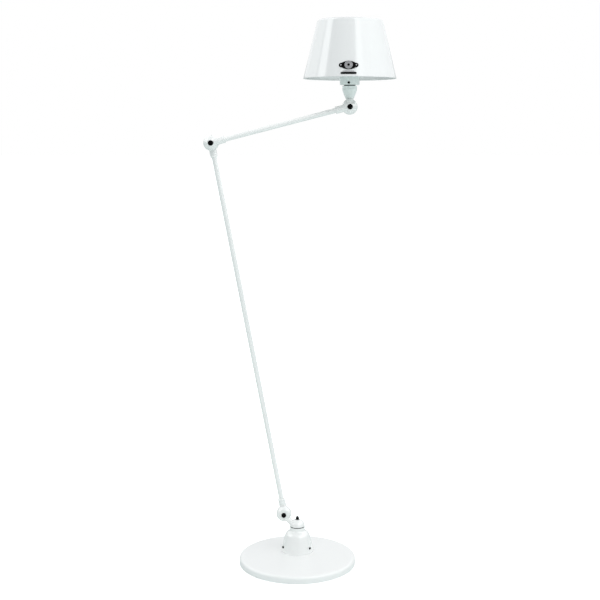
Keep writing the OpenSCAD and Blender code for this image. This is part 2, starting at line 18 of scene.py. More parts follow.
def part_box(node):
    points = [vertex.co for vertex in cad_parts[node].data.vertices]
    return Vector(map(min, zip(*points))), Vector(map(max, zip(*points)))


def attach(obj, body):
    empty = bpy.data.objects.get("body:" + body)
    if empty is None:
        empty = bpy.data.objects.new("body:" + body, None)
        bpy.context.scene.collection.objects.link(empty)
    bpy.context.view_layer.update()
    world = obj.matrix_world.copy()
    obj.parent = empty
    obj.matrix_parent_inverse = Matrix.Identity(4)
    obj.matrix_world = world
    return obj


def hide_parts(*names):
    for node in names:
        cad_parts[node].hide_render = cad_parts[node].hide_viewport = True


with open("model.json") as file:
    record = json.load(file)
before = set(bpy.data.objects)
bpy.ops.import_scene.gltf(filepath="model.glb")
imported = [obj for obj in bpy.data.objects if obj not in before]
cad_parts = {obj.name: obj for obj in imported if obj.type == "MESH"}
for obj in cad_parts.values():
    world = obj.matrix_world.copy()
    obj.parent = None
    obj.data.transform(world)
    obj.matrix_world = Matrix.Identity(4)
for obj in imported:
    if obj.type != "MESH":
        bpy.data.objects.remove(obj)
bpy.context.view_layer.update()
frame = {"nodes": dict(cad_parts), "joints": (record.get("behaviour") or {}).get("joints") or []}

LOG = logging.getLogger("lamp")
MM = 0.001
TINY = 1e-7
UP = Vector((0, 0, 1))
FRONT = Vector((0, -1, 0))
REAR = Vector((0, 1, 0))
Outline = list[tuple[float, float]]


# ---------------------------------------------------------------- outlines


@dataclass(frozen=True)
class Corner:
    """A corner of a turned outline, in metres, with the radius that rounds it."""

    r: float
    z: float
    soft: float = 0.0


def rounded(corners: Sequence[Corner], closed: bool = False, steps: int = 5) -> Outline:
    """Draws an outline through corners, with an arc at each soft one.

    Args:
        corners: The corners in order.
        closed: Whether the last corner joins the first.
        steps: Points on each arc, less one.

    Returns:
        The outline's points as (radius, height).
    """
    points: Outline = []
    count = len(corners)
    for i, corner in enumerate(corners):
        here = Vector((corner.r, corner.z))
        at_end = not closed and i in (0, count - 1)
        if corner.soft <= 0 or at_end:
            points.append((here.x, here.y))
            continue
        before, after = corners[i - 1], corners[(i + 1) % count]
        back = Vector((before.r, before.z)) - here
        on = Vector((after.r, after.z)) - here
        half = back.angle(on) / 2
        reach = min(corner.soft / math.tan(half), 0.49 * min(back.length, on.length))
        start = here + back.normalized() * reach
        end = here + on.normalized() * reach
        centre = here + (back.normalized() + on.normalized()).normalized() * reach / math.cos(half)
        first, last = start - centre, end - centre
        turn = first.angle_signed(last)
        for k in range(steps + 1):
            arm = first.copy()
            arm.rotate(Matrix.Rotation(-turn * k / steps, 2))
            points.append((centre.x + arm.x, centre.y + arm.y))
    return points


def pulled(a: tuple[float, float], b: tuple[float, float], c: tuple[float, float],
           steps: int) -> Outline:
    """Draws a curve from a to c that is pulled towards b.

    Args:
        a: Start, as (radius, height).
        b: The point that pulls.
        c: End.
        steps: Points on the curve, less one.

    Returns:
        The curve's points.
    """
    points: Outline = []
    for k in range(steps + 1):
        t = k / steps
        weights = ((1 - t) ** 2, 2 * t * (1 - t), t * t)
        points.append(tuple(sum(w * p[i] for w, p in zip(weights, (a, b, c))) for i in (0, 1)))
    return points


def arc(centre: tuple[float, float], radius: float, start: float, end: float,
        steps: int) -> Outline:
    """Draws an arc about a centre, from one angle to another in degrees."""
    angles = [math.radians(start + (end - start) * k / steps) for k in range(steps + 1)]
    return [(centre[0] + radius * math.cos(a), centre[1] + radius * math.sin(a)) for a in angles]


# ---------------------------------------------------------------- modelling


class Bench:
    """The modelling bench: Blender's operators, wrapped so that each starts from a clear state."""

    @staticmethod
    def clear() -> None:
        """Leaves edit mode and deselects everything."""
        if bpy.context.object and bpy.context.object.mode != "OBJECT":
            bpy.ops.object.mode_set(mode="OBJECT")
        bpy.ops.object.select_all(action="DESELECT")

    @staticmethod
    def pick(*objects: bpy.types.Object) -> None:
        """Selects these objects alone, and makes the first one active."""
        Bench.clear()
        for obj in objects:
            obj.select_set(True)
        bpy.context.view_layer.objects.active = objects[0]

    @staticmethod
    def turned(name: str, outline: Outline, closed: bool = False, steps: int = 96) -> bpy.types.Object:
        """Turns an outline about Z, ring by ring, by extruding and scaling a circle.

        Args:
            name: The object's name.
            outline: Points as (radius, height). An end on the axis closes in a pole.
            closed: Whether the last ring is bridged back to the first, as on a tube or a ring.
            steps: Vertices on each ring.

        Returns:
            The new object.
        """
        Bench.clear()
        rings = [p for p in outline if p[0] > TINY]
        start_pole = outline[0] if outline[0][0] <= TINY else None
        end_pole = outline[-1] if outline[-1][0] <= TINY else None
        radius, height = rings[0]
        bpy.ops.mesh.primitive_circle_add(vertices=steps, radius=radius, location=(0, 0, 0))
        obj = bpy.context.object
        obj.name = name
        bpy.ops.object.mode_set(mode="EDIT")
        bpy.ops.transform.translate(value=(0, 0, height))
        for r, z in rings[1:]:
            bpy.ops.mesh.extrude_region_move(TRANSFORM_OT_translate={"value": (0, 0, z - height)})
            k = r / radius
            bpy.ops.transform.resize(value=(k, k, 1), center_override=(0, 0, z))
            radius, height = r, z
        if end_pole:
            lift = (0, 0, end_pole[1] - height)
            bpy.ops.mesh.extrude_region_move(TRANSFORM_OT_translate={"value": lift})
            bpy.ops.mesh.merge(type="CENTER")
        if start_pole or closed:
            bpy.ops.mesh.select_all(action="DESELECT")
            bpy.ops.mesh.select_non_manifold(extend=False, use_wire=False, use_boundary=True,
                                             use_multi_face=False, use_non_contiguous=False,
                                             use_verts=False)
        if closed:
            bpy.ops.mesh.bridge_edge_loops()
        elif start_pole:
            lift = (0, 0, start_pole[1] - rings[0][1])
            bpy.ops.mesh.extrude_region_move(TRANSFORM_OT_translate={"value": lift})
            bpy.ops.mesh.merge(type="CENTER")
        bpy.ops.mesh.select_all(action="SELECT")
        bpy.ops.mesh.normals_make_consistent(inside=False)
        Bench.clear()
        return obj

    @staticmethod
    def prism(name: str, sides: int, across: float, low: float, high: float) -> bpy.types.Object:
        """Adds an upright prism, measured across its flats.

        Args:
            name: The object's name.
            sides: Number of side faces.
            across: Distance between opposite faces.
            low: Height of its foot.
            high: Height of its top.

        Returns:
            The new object.
        """
        Bench.clear()
        radius = across / 2 / math.cos(math.pi / sides)
        bpy.ops.mesh.primitive_cylinder_add(vertices=sides, radius=radius, depth=high - low,
                                            location=(0, 0, (low + high) / 2))
        obj = bpy.context.object
        obj.name = name
        bpy.ops.object.transform_apply(location=True, rotation=True, scale=True)
        return obj

    @staticmethod
    def block(name: str, low: Vector, high: Vector) -> bpy.types.Object:
        """Adds a box between two corners."""
        Bench.clear()
        size = high - low
        bpy.ops.mesh.primitive_cube_add(size=1, location=(low + high) / 2)
        obj = bpy.context.object
        obj.name = name
        bpy.ops.object.mode_set(mode="EDIT")
        bpy.ops.transform.resize(value=tuple(size), center_override=tuple((low + high) / 2))
        Bench.clear()
        Bench.pick(obj)
        bpy.ops.object.transform_apply(location=True, rotation=True, scale=True)
        return obj

    @staticmethod
    def place(obj: bpy.types.Object, at: Vector, aim: Vector = UP, turn: float = 0.0) -> None:
        """Turns an object's +Z to aim, moves it, and puts its place into its mesh.

        Args:
            obj: The object, modelled about the origin.
            at: Where its origin goes.
            aim: Where its +Z points.
            turn: Turn about its own axis first, in radians.
        """
        spin = Matrix.Rotation(turn, 4, "Z")
        swing = UP.rotation_difference(aim).to_matrix().to_4x4()
        obj.matrix_world = Matrix.Translation(at) @ swing @ spin @ obj.matrix_world
        Bench.pick(obj)
        bpy.ops.object.transform_apply(location=True, rotation=True, scale=True)

    @staticmethod
    def copy(obj: bpy.types.Object, name: str) -> bpy.types.Object:
        """Duplicates an object with its own mesh."""
        Bench.pick(obj)
        bpy.ops.object.duplicate()
        twin = bpy.context.object
        twin.name = name
        return twin

    @staticmethod
    def apply(obj: bpy.types.Object, kind: str, **settings: object) -> None:
        """Adds one modifier with these settings and applies it."""
        modifier = obj.modifiers.new(kind.lower(), kind)
        for key, value in settings.items():
            setattr(modifier, key, value)
        Bench.pick(obj)
        bpy.ops.object.modifier_apply(modifier=modifier.name)

    @staticmethod
    def combine(obj: bpy.types.Object, tool: bpy.types.Object, operation: str) -> None:
        """Joins, cuts or crosses an object with a tool, and removes the tool.

        Args:
            obj: The object that changes.
            tool: The other solid.
            operation: UNION, DIFFERENCE or INTERSECT.
        """
        Bench.apply(obj, "BOOLEAN", object=tool, operation=operation, solver="EXACT")
        bpy.data.objects.remove(tool)

    @staticmethod
    def weld(obj: bpy.types.Object) -> None:
        """Merges doubled vertices and turns the normals outwards."""
        Bench.pick(obj)
        bpy.ops.object.mode_set(mode="EDIT")
        bpy.ops.mesh.select_all(action="SELECT")
        bpy.ops.mesh.remove_doubles(threshold=0.002 * MM)
        bpy.ops.mesh.normals_make_consistent(inside=False)
        Bench.clear()

    @staticmethod
    def soften(obj: bpy.types.Object, width: float, segments: int = 2) -> None:
        """Rounds an object's sharp edges with a bevel."""
        Bench.apply(obj, "BEVEL", width=width, segments=segments, limit_method="ANGLE",
                    angle_limit=math.radians(35), harden_normals=False)

    @staticmethod
    def cast(obj: bpy.types.Object, voxel: float, rounds: int) -> None:
        """Melts joined solids into one casting with soft inner corners.

        Args:
            obj: The joined solid.
            voxel: Size of the new mesh's faces.
            rounds: Passes of smoothing, which set how soft the corners become.
        """
        Bench.apply(obj, "REMESH", mode="VOXEL", voxel_size=voxel, use_smooth_shade=True)
        Bench.apply(obj, "SMOOTH", factor=0.5, iterations=rounds)


@dataclass(frozen=True)
class Dress:
    """How a finished piece is handed over: its body, the CAD nodes it stands for, its finish."""

    body: str
    nodes: tuple[str, ...]
    finish: "Finish"
    crease: float = 32.0

    def put_on(self, obj: bpy.types.Object) -> bpy.types.Object:
        """Shades, paints and hands over a piece.

        Args:
            obj: The finished mesh object.

        Returns:
            The same object.
        """
        Bench.pick(obj)
        bpy.ops.object.shade_smooth_by_angle(angle=math.radians(self.crease))
        if not obj.data.materials:
            obj.data.materials.append(self.finish.material())
        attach(obj, self.body)
        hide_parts(*self.nodes)
        LOG.info("%s: %d faces on %s", obj.name, len(obj.data.polygons), self.body)
        return obj


# ---------------------------------------------------------------- finishes


def new_group(name: str, inputs: dict[str, tuple[str, object]],
              outputs: dict[str, str]) -> bpy.types.NodeTree:
    """Starts a shader node group with named sockets.

    Args:
        name: The group's name.
        inputs: Socket name to (socket type, default).
        outputs: Socket name to socket type.

    Returns:
        The group's node tree, with its input and output nodes in place.
    """
    tree = bpy.data.node_groups.new(name, "ShaderNodeTree")
    for socket, (kind, default) in inputs.items():
        made = tree.interface.new_socket(name=socket, in_out="INPUT", socket_type=kind)
        made.default_value = default
    for socket, kind in outputs.items():
        tree.interface.new_socket(name=socket, in_out="OUTPUT", socket_type=kind)
    tree.nodes.new("NodeGroupInput").name = "in"
    tree.nodes.new("NodeGroupOutput").name = "out"
    return tree


def math_node(tree: bpy.types.NodeTree, operation: str, a: object, b: object) -> bpy.types.NodeSocket:
    """Adds a math node; a and b are sockets or numbers. Returns its output."""
    node = tree.nodes.new("ShaderNodeMath")
    node.operation = operation
    for slot, value in zip(node.inputs, (a, b)):
        if isinstance(value, bpy.types.NodeSocket):
            tree.links.new(value, slot)
        else:
            slot.default_value = value
    return node.outputs[0]


def noise(tree: bpy.types.NodeTree, scale: object, detail: float = 2.0,
          vector: object = None) -> bpy.types.NodeSocket:
    """Adds a noise texture on Object coordinates. Returns its value, from 0 to 1."""
    node = tree.nodes.new("ShaderNodeTexNoise")
    node.inputs["Detail"].default_value = detail
    if isinstance(scale, bpy.types.NodeSocket):
        tree.links.new(scale, node.inputs["Scale"])
    else:
        node.inputs["Scale"].default_value = scale
    if vector is None:
        vector = tree.nodes.new("ShaderNodeTexCoord").outputs["Object"]
    tree.links.new(vector, node.inputs["Vector"])
    return node.outputs["Fac"]


class Effect(Enum):
    """The shader node groups that several finishes share."""

    DRIFT = "tone_drift"
    RELIEF = "skin_relief"
    WEAR = "edge_wear"

    def tree(self) -> bpy.types.NodeTree:
        """Returns the group, built on first use."""
        made = bpy.data.node_groups.get(self.value)
        if made:
            return made
        builders = {Effect.DRIFT: build_drift, Effect.RELIEF: build_relief, Effect.WEAR: build_wear}
        return builders[self]()

    def use(self, tree: bpy.types.NodeTree, **values: object) -> bpy.types.Node:
        """Places the group in a material.

        Args:
            tree: The material's node tree.
            **values: Input values, with underscores for spaces.

        Returns:
            The group node.
        """
        node = tree.nodes.new("ShaderNodeGroup")
        node.node_tree = self.tree()
        for key, value in values.items():
            node.inputs[key.replace("_", " ")].default_value = value
        return node


def build_drift() -> bpy.types.NodeTree:
    """Builds tone_drift: a colour and a roughness that wander slowly over a surface."""
    tree = new_group(Effect.DRIFT.value, {
        "Tone A": ("NodeSocketColor", (1, 1, 1, 1)), "Tone B": ("NodeSocketColor", (1, 1, 1, 1)),
        "Rough A": ("NodeSocketFloat", 0.2), "Rough B": ("NodeSocketFloat", 0.3),
        "Scale": ("NodeSocketFloat", 10.0)},
        {"Color": "NodeSocketColor", "Roughness": "NodeSocketFloat"})
    source = tree.nodes["in"].outputs
    broad = noise(tree, source["Scale"], detail=3.0)
    fine = noise(tree, math_node(tree, "MULTIPLY", source["Scale"], 9.0), detail=4.0)
    blend = math_node(tree, "ADD", math_node(tree, "MULTIPLY", broad, 0.7),
                      math_node(tree, "MULTIPLY", fine, 0.3))
    mix = tree.nodes.new("ShaderNodeMix")
    mix.data_type = "RGBA"
    tree.links.new(blend, mix.inputs[0])
    tree.links.new(source["Tone A"], mix.inputs[6])
    tree.links.new(source["Tone B"], mix.inputs[7])
    rough = tree.nodes.new("ShaderNodeMapRange")
    tree.links.new(fine, rough.inputs["Value"])
    rough.inputs["From Min"].default_value = 0.3
    rough.inputs["From Max"].default_value = 0.7
    tree.links.new(source["Rough A"], rough.inputs["To Min"])
    tree.links.new(source["Rough B"], rough.inputs["To Max"])
    tree.links.new(mix.outputs[2], tree.nodes["out"].inputs["Color"])
    tree.links.new(rough.outputs[0], tree.nodes["out"].inputs["Roughness"])
    return tree


def build_relief() -> bpy.types.NodeTree:
    """Builds skin_relief: the height of a sprayed or cast skin, from two sizes of grain."""
    tree = new_group(Effect.RELIEF.value, {
        "Fine Scale": ("NodeSocketFloat", 900.0), "Fine Height": ("NodeSocketFloat", 0.5),
        "Broad Scale": ("NodeSocketFloat", 120.0), "Broad Height": ("NodeSocketFloat", 0.5)},
        {"Height": "NodeSocketFloat"})
    source = tree.nodes["in"].outputs
    fine = math_node(tree, "MULTIPLY", noise(tree, source["Fine Scale"], 2.0), source["Fine Height"])
    broad = math_node(tree, "MULTIPLY", noise(tree, source["Broad Scale"], 1.0),
                      source["Broad Height"])
    tree.links.new(math_node(tree, "ADD", fine, broad), tree.nodes["out"].inputs["Height"])
    return tree


def build_wear() -> bpy.types.NodeTree:
    """Builds edge_wear: a mask of the outer edges, broken up by a fine noise."""
    tree = new_group(Effect.WEAR.value, {
        "Start": ("NodeSocketFloat", 0.53), "End": ("NodeSocketFloat", 0.62),
        "Patch Scale": ("NodeSocketFloat", 400.0)}, {"Mask": "NodeSocketFloat"})
    source = tree.nodes["in"].outputs
    shape = tree.nodes.new("ShaderNodeNewGeometry").outputs["Pointiness"]
    patch = math_node(tree, "MULTIPLY", noise(tree, source["Patch Scale"], 3.0), 0.06)
    ramp = tree.nodes.new("ShaderNodeMapRange")
    tree.links.new(math_node(tree, "ADD", shape, math_node(tree, "SUBTRACT", patch, 0.03)),
                   ramp.inputs["Value"])
    tree.links.new(source["Start"], ramp.inputs["From Min"])
    tree.links.new(source["End"], ramp.inputs["From Max"])
    tree.links.new(ramp.outputs[0], tree.nodes["out"].inputs["Mask"])
    return tree


@dataclass(frozen=True)
class Finish:
    """A surface finish: two tones that drift into each other, a roughness range and a relief."""

    name: str
    slot: str
    tone_a: tuple[float, float, float]
    tone_b: tuple[float, float, float]
    rough: tuple[float, float]
    drift_scale: float = 12.0
    fine: tuple[float, float] = (900.0, 0.5)
    broad: tuple[float, float] = (120.0, 0.5)
    relief: float = 0.02
    metallic: float = 0.0
    coat: float = 0.0
    coat_rough: float = 0.03
    ior: float = 1.5
    wear_tone: tuple[float, float, float] | None = None
    wear_start: float = 0.53

    def material(self) -> bpy.types.Material:
        """Returns the finish's material, built on first use."""
        return bpy.data.materials.get(f"{self.name}_finish") or self.build()

    def build(self) -> bpy.types.Material:
        """Builds the material.

        Returns:
            The new material.
        """
        made = bpy.data.materials.new(f"{self.name}_finish")
        made.use_nodes = True
        tree = made.node_tree
        shader = tree.nodes["Principled BSDF"]
        shader.inputs["Metallic"].default_value = self.metallic
        shader.inputs["IOR"].default_value = self.ior
        shader.inputs["Coat Weight"].default_value = self.coat
        shader.inputs["Coat Roughness"].default_value = self.coat_rough
        drift = Effect.DRIFT.use(tree, Tone_A=(*self.tone_a, 1), Tone_B=(*self.tone_b, 1),
                                 Rough_A=self.rough[0], Rough_B=self.rough[1],
                                 Scale=self.drift_scale)
        color = drift.outputs["Color"]
        if self.wear_tone:
            wear = Effect.WEAR.use(tree, Start=self.wear_start, End=self.wear_start + 0.08)
            mix = tree.nodes.new("ShaderNodeMix")
            mix.data_type = "RGBA"
            tree.links.new(wear.outputs["Mask"], mix.inputs[0])
            tree.links.new(color, mix.inputs[6])
            mix.inputs[7].default_value = (*self.wear_tone, 1)
            color = mix.outputs[2]
        tree.links.new(color, shader.inputs["Base Color"])
        tree.links.new(drift.outputs["Roughness"], shader.inputs["Roughness"])
        bump = tree.nodes.new("ShaderNodeBump")
        bump.inputs["Strength"].default_value = 1.0
        bump.inputs["Distance"].default_value = self.relief * MM
        tree.links.new(self.height(tree), bump.inputs["Height"])
        tree.links.new(bump.outputs["Normal"], shader.inputs["Normal"])
        self.extra(shader)
        return made

    def height(self, tree: bpy.types.NodeTree) -> bpy.types.NodeSocket:
        """Returns the socket with the surface's relief."""
        relief = Effect.RELIEF.use(tree, Fine_Scale=self.fine[0], Fine_Height=self.fine[1],
                                   Broad_Scale=self.broad[0], Broad_Height=self.broad[1])
        return relief.outputs["Height"]

    def extra(self, shader: bpy.types.Node) -> None:
        """Sets what only this kind of finish has."""


@dataclass(frozen=True)
class TurnedFinish(Finish):
    """Metal with fine turned rings about an axis."""

    centre: tuple[float, float, float] = (0.0, 0.0, 0.0)
    tilt: float = 0.0
    rings_per_mm: float = 2.2

    def height(self, tree: bpy.types.NodeTree) -> bpy.types.NodeSocket:
        """Returns the relief of concentric rings about the piece's own axis."""
        coords = tree.nodes.new("ShaderNodeTexCoord").outputs["Object"]
        shift = tree.nodes.new("ShaderNodeMapping")
        shift.vector_type = "TEXTURE"
        shift.inputs["Location"].default_value = self.centre
        shift.inputs["Rotation"].default_value = (self.tilt, 0, 0)
        tree.links.new(coords, shift.inputs["Vector"])
        rings = tree.nodes.new("ShaderNodeTexWave")
        rings.wave_type = "RINGS"
        rings.rings_direction = "Z"
        rings.inputs["Scale"].default_value = self.rings_per_mm / MM / 3.2
        rings.inputs["Distortion"].default_value = 0.4
        tree.links.new(shift.outputs[0], rings.inputs["Vector"])
        return rings.outputs["Fac"]


@dataclass(frozen=True)
class FeltFinish(Finish):
    """Pressed wool felt: matted fibres and a soft sheen."""

    def height(self, tree: bpy.types.NodeTree) -> bpy.types.NodeSocket:
        """Returns the relief of matted fibres."""
        cells = tree.nodes.new("ShaderNodeTexVoronoi")
        cells.inputs["Scale"].default_value = self.fine[0]
        tree.links.new(tree.nodes.new("ShaderNodeTexCoord").outputs["Object"],
                       cells.inputs["Vector"])
        return math_node(tree, "ADD", cells.outputs["Distance"], noise(tree, self.broad[0], 6.0))

    def extra(self, shader: bpy.types.Node) -> None:
        """Adds the sheen of loose fibres."""
        shader.inputs["Sheen Weight"].default_value = 0.5
        shader.inputs["Sheen Roughness"].default_value = 0.6


@dataclass(frozen=True)
class OpalFinish(Finish):
    """Opal glass, which lets a little light through."""

    def extra(self, shader: bpy.types.Node) -> None:
        """Lets some light into the glass."""
        shader.inputs["Transmission Weight"].default_value = 0.25
        shader.inputs["Subsurface Weight"].default_value = 0.2
        shader.inputs["Subsurface Radius"].default_value = (0.01, 0.01, 0.01)


ENAMEL = Finish("white_enamel", "white_enamel", (0.935, 0.95, 0.94), (0.922, 0.938, 0.926),
                (0.18, 0.24), 9.0, (1100.0, 0.3), (260.0, 0.7), 0.003, metallic=0.3,
                wear_tone=(0.945, 0.955, 0.948), wear_start=0.56)
# A greener copy of the white enamel for the cup and collar: its tint is painted shade, the greenish
# shadow that falls under the lampshade.
CUP_ENAMEL_WITH_PAINTED_SHADE = Finish("cup_enamel_painted_shade", "white_enamel", (0.90, 0.97, 0.95), (0.885, 0.95, 0.93),
                    (0.24, 0.31), 9.0, (1100.0, 0.3), (260.0, 0.7), 0.006, coat=0.2,
                    coat_rough=0.12)
# The lampshade's enamel is the same white, toned about a tenth darker: painted shade for the dimmer
# light on the lampshade's front.
LAMPSHADE_ENAMEL_WITH_PAINTED_SHADE = Finish("shade_enamel", "shade_enamel", (0.84, 0.852, 0.85), (0.83, 0.842, 0.84),
                      (0.13, 0.18), 6.0, (900.0, 0.2), (190.0, 0.8), 0.003, metallic=0.3)
BASE_ENAMEL = Finish("base_enamel", "base_enamel", (0.932, 0.942, 0.935), (0.918, 0.93, 0.922),
                     (0.4, 0.5), 7.0, (1300.0, 0.5), (420.0, 0.7), 0.01, metallic=0.3)
BLACK_STEEL = Finish("black_steel", "black_steel", (0.0015, 0.0015, 0.0018),
                     (0.004, 0.004, 0.0045), (0.3, 0.45), 90.0, (2600.0, 0.6), (700.0, 0.4), 0.01,
                     ior=1.12, wear_tone=(0.012, 0.012, 0.013), wear_start=0.6)
ZINC = Finish("zinc_steel", "zinc_steel", (0.62, 0.63, 0.65), (0.52, 0.53, 0.56), (0.28, 0.46),
              60.0, (2200.0, 0.6), (500.0, 0.4), 0.012, metallic=1.0, ior=2.5,
              wear_tone=(0.75, 0.76, 0.78))
BRASS = Finish("brass", "brass", (0.74, 0.56, 0.26), (0.66, 0.48, 0.2), (0.22, 0.38), 50.0,
               (1800.0, 0.5), (400.0, 0.5), 0.012, metallic=1.0, ior=2.5,
               wear_tone=(0.85, 0.7, 0.4))
IRON = Finish("iron", "iron", (0.11, 0.11, 0.115), (0.17, 0.165, 0.16), (0.55, 0.8), 25.0,
              (900.0, 0.7), (160.0, 0.8), 0.15, metallic=0.6, ior=2.2,
              wear_tone=(0.3, 0.3, 0.31))
FELT = FeltFinish("felt", "felt", (0.035, 0.036, 0.038), (0.055, 0.056, 0.06), (0.9, 1.0), 30.0,
                  (900.0, 1.0), (420.0, 1.0), 0.35)
RUBBER = Finish("rubber", "rubber", (0.025, 0.025, 0.026), (0.04, 0.04, 0.042), (0.55, 0.72),
                70.0, (1500.0, 0.6), (380.0, 0.6), 0.03)
# Near-black fibre for the friction discs and the washer: partly the discs' own dark tone, partly painted
# shade of the thin gaps they fill.
FIBRE_WITH_PAINTED_SHADE = Finish("fibre", "fibre", (0.010, 0.014, 0.016), (0.022, 0.028, 0.03), (0.6, 0.8), 80.0,
               (1600.0, 0.8), (300.0, 0.5), 0.04, ior=1.3)
LEAD_PVC = Finish("lead_pvc", "lead_pvc", (0.04, 0.04, 0.042), (0.06, 0.06, 0.062), (0.38, 0.5),
                  40.0, (1200.0, 0.4), (300.0, 0.4), 0.02)
PORCELAIN = Finish("porcelain", "porcelain", (0.86, 0.84, 0.79), (0.82, 0.8, 0.745), (0.14, 0.24),
                   30.0, (700.0, 0.3), (150.0, 0.9), 0.03, coat=0.6)
RING_PLASTIC = Finish("ring_plastic", "ring_plastic", (0.84, 0.83, 0.79), (0.8, 0.79, 0.75),
                      (0.3, 0.42), 40.0, (1500.0, 0.7), (300.0, 0.4), 0.02)
OPAL = OpalFinish("opal_glass", "opal_glass", (0.93, 0.93, 0.9), (0.9, 0.9, 0.875), (0.1, 0.16),
                  12.0, (500.0, 0.2), (90.0, 0.8), 0.01, ior=1.5)
BADGE_BLACK = Finish("badge_black", "badge_black", (0.0015, 0.0015, 0.0016),
                     (0.004, 0.004, 0.0045), (0.28, 0.4), 120.0, (1800.0, 0.4), (500.0, 0.6), 0.008,
                     ior=1.12)
BADGE_METAL = Finish("badge_metal", "badge_metal", (0.66, 0.66, 0.67), (0.54, 0.54, 0.55),
                     (0.24, 0.36), 90.0, (2400.0, 0.6), (700.0, 0.5), 0.012, metallic=1.0,
                     ior=2.5)

CAD_FINISHES = {
    "base_weight": IRON, "mount_ring": ZINC, "ring_screws": ZINC, "swivel_bolt": ZINC,
    "swivel_spring_washer": ZINC, "long_arm_lead": LEAD_PVC, "short_arm_lead": LEAD_PVC,
    "holder_nipple": BRASS, "nipple_nut": BRASS, "lampholder_contact": BRASS,
}


def dress_cad_nodes() -> None:
    """Gives the CAD nodes that stay in view their finishes."""
    for node, finish in CAD_FINISHES.items():
        obj = frame["nodes"][node]
        material = finish.material()
        if not obj.material_slots:
            obj.data.materials.append(material)
        for slot in obj.material_slots:
            slot.material = material
        LOG.info("%s keeps its CAD shape, in %s", node, finish.name)


# ---------------------------------------------------------------- places


@dataclass(frozen=True)
class Span:
    """A CAD node's box, read as a turned part: its middle, radius and heights."""

    low: Vector
    high: Vector

    @classmethod
    def of(cls, node: str) -> "Span":
        """Reads the box of a CAD node."""
        low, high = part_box(node)
        return cls(Vector(low), Vector(high))

    @property
    def middle(self) -> Vector:
        """The middle of the box."""
        return (self.low + self.high) / 2

    @property
    def radius(self) -> float:
        """Half the box's width."""
        return (self.high.x - self.low.x) / 2

    @property
    def axis_foot(self) -> Vector:
        """The point on an upright part's axis, at the height of the floor."""
        return Vector((self.middle.x, self.middle.y, 0))


def joint_place(name: str) -> Vector:
    """Returns the place of a joint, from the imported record."""
    joint = next(j for j in frame["joints"] if j["name"] == name)
    return Vector(joint["pos_m"])


# ---------------------------------------------------------------- base and pedestal


@dataclass
class Base:
    """The weighted base: pressed cover, felt and cord grommet."""

    sheet: float = 1.5 * MM
    edge: float = 7.5 * MM
    hem: float = 0.45 * MM
    inlet_radius: float = 3.75 * MM
    lead_radius: float = 6 * MM
    bore: float = 2.6 * MM

    def build(self) -> None:
        """Builds the base's pieces."""
        self.cover()
        self.felt()
        self.grommet()

    def cover(self) -> None:
        """Models the pressed cover, with its hole for the cord."""
        span = Span.of("base_cover")
        r, top, low = span.radius, span.high.z, span.low.z
        inner = r - self.sheet
        outline = rounded([
            Corner(0, top), Corner(0.4 * r, top), Corner(0.75 * r, top),
            Corner(r - 1.5 * self.edge, top), Corner(r, top, self.edge), Corner(r, low, self.hem),
            Corner(inner, low, self.hem), Corner(inner, top - self.sheet, self.edge - self.sheet),
            Corner(0, top - self.sheet)], steps=10)
        cover = Bench.turned("base_cover_shell", outline, steps=224)
        inlet = Span.of("cable_grommet").middle
        hole = Bench.turned("inlet_hole", rounded([
            Corner(0, -8 * MM), Corner(self.inlet_radius, -8 * MM),
            Corner(self.inlet_radius, 8 * MM), Corner(0, 8 * MM)]), steps=48)
        Bench.place(hole, Vector((inlet.x, inlet.y, inlet.z)), REAR)
        Bench.combine(cover, hole, "DIFFERENCE")
        Dress("base", ("base_cover",), BASE_ENAMEL, crease=40).put_on(cover)

    def felt(self) -> None:
        """Models the felt pad, with its cut edge slightly rounded."""
        span = Span.of("base_felt")
        r = span.radius
        outline = rounded([
            Corner(0, 0), Corner(r, 0, 0.5 * MM), Corner(r, span.high.z, 0.3 * MM),
            Corner(0, span.high.z)])
        felt = Bench.turned("base_felt_pad", outline, steps=160)
        Dress("base", ("base_felt",), FELT).put_on(felt)

    def grommet(self) -> None:
        """Models the rubber grommet at the cord's inlet."""
        span = Span.of("cable_grommet")
        r, neck = span.radius, self.inlet_radius - 0.05 * MM
        length = span.high.y - span.low.y
        flange, bore = 1.2 * MM, self.bore
        outline = rounded([
            Corner(bore, 0, 0.3 * MM), Corner(r, 0, 0.4 * MM), Corner(r, flange, 0.4 * MM),
            Corner(neck, flange), Corner(neck, length - flange),
            Corner(r, length - flange, 0.4 * MM), Corner(r, length, 0.5 * MM),
            Corner(bore, length, 0.4 * MM)], closed=True, steps=4)
        grommet = Bench.turned("inlet_grommet", outline, closed=True, steps=48)
        Bench.place(grommet, Vector((span.middle.x, span.low.y, span.middle.z)), REAR)
        Dress("base", ("cable_grommet",), RUBBER).put_on(grommet)


@dataclass
class ButtonScrew:
    """A small button-head screw with a hexagon socket."""

    head_r: float = 2.4 * MM
    head_h: float = 1.8 * MM
    shank_r: float = 1.5 * MM
    shank_l: float = 2.6 * MM
    key: float = 2 * MM

    def model(self, name: str) -> bpy.types.Object:
        """Models the screw with its head's underside at the origin.

        Args:
            name: The object's name.

        Returns:
            The screw, pointing up.
        """
        head, height = self.head_r, self.head_h
        outline = [(0, -self.shank_l), (self.shank_r, -self.shank_l), (self.shank_r, 0)]
        outline += [(head, 0), (head, 0.25 * height)]
        outline += pulled((head, 0.3 * height), (0.95 * head, 0.98 * height),
                          (0.3 * head, height), 7)
        outline += [(0, height)]
        screw = Bench.turned(name, outline, steps=48)
        socket = Bench.prism("socket", 6, self.key, 0.35 * height, 2 * height)
        Bench.combine(screw, socket, "DIFFERENCE")
        return screw


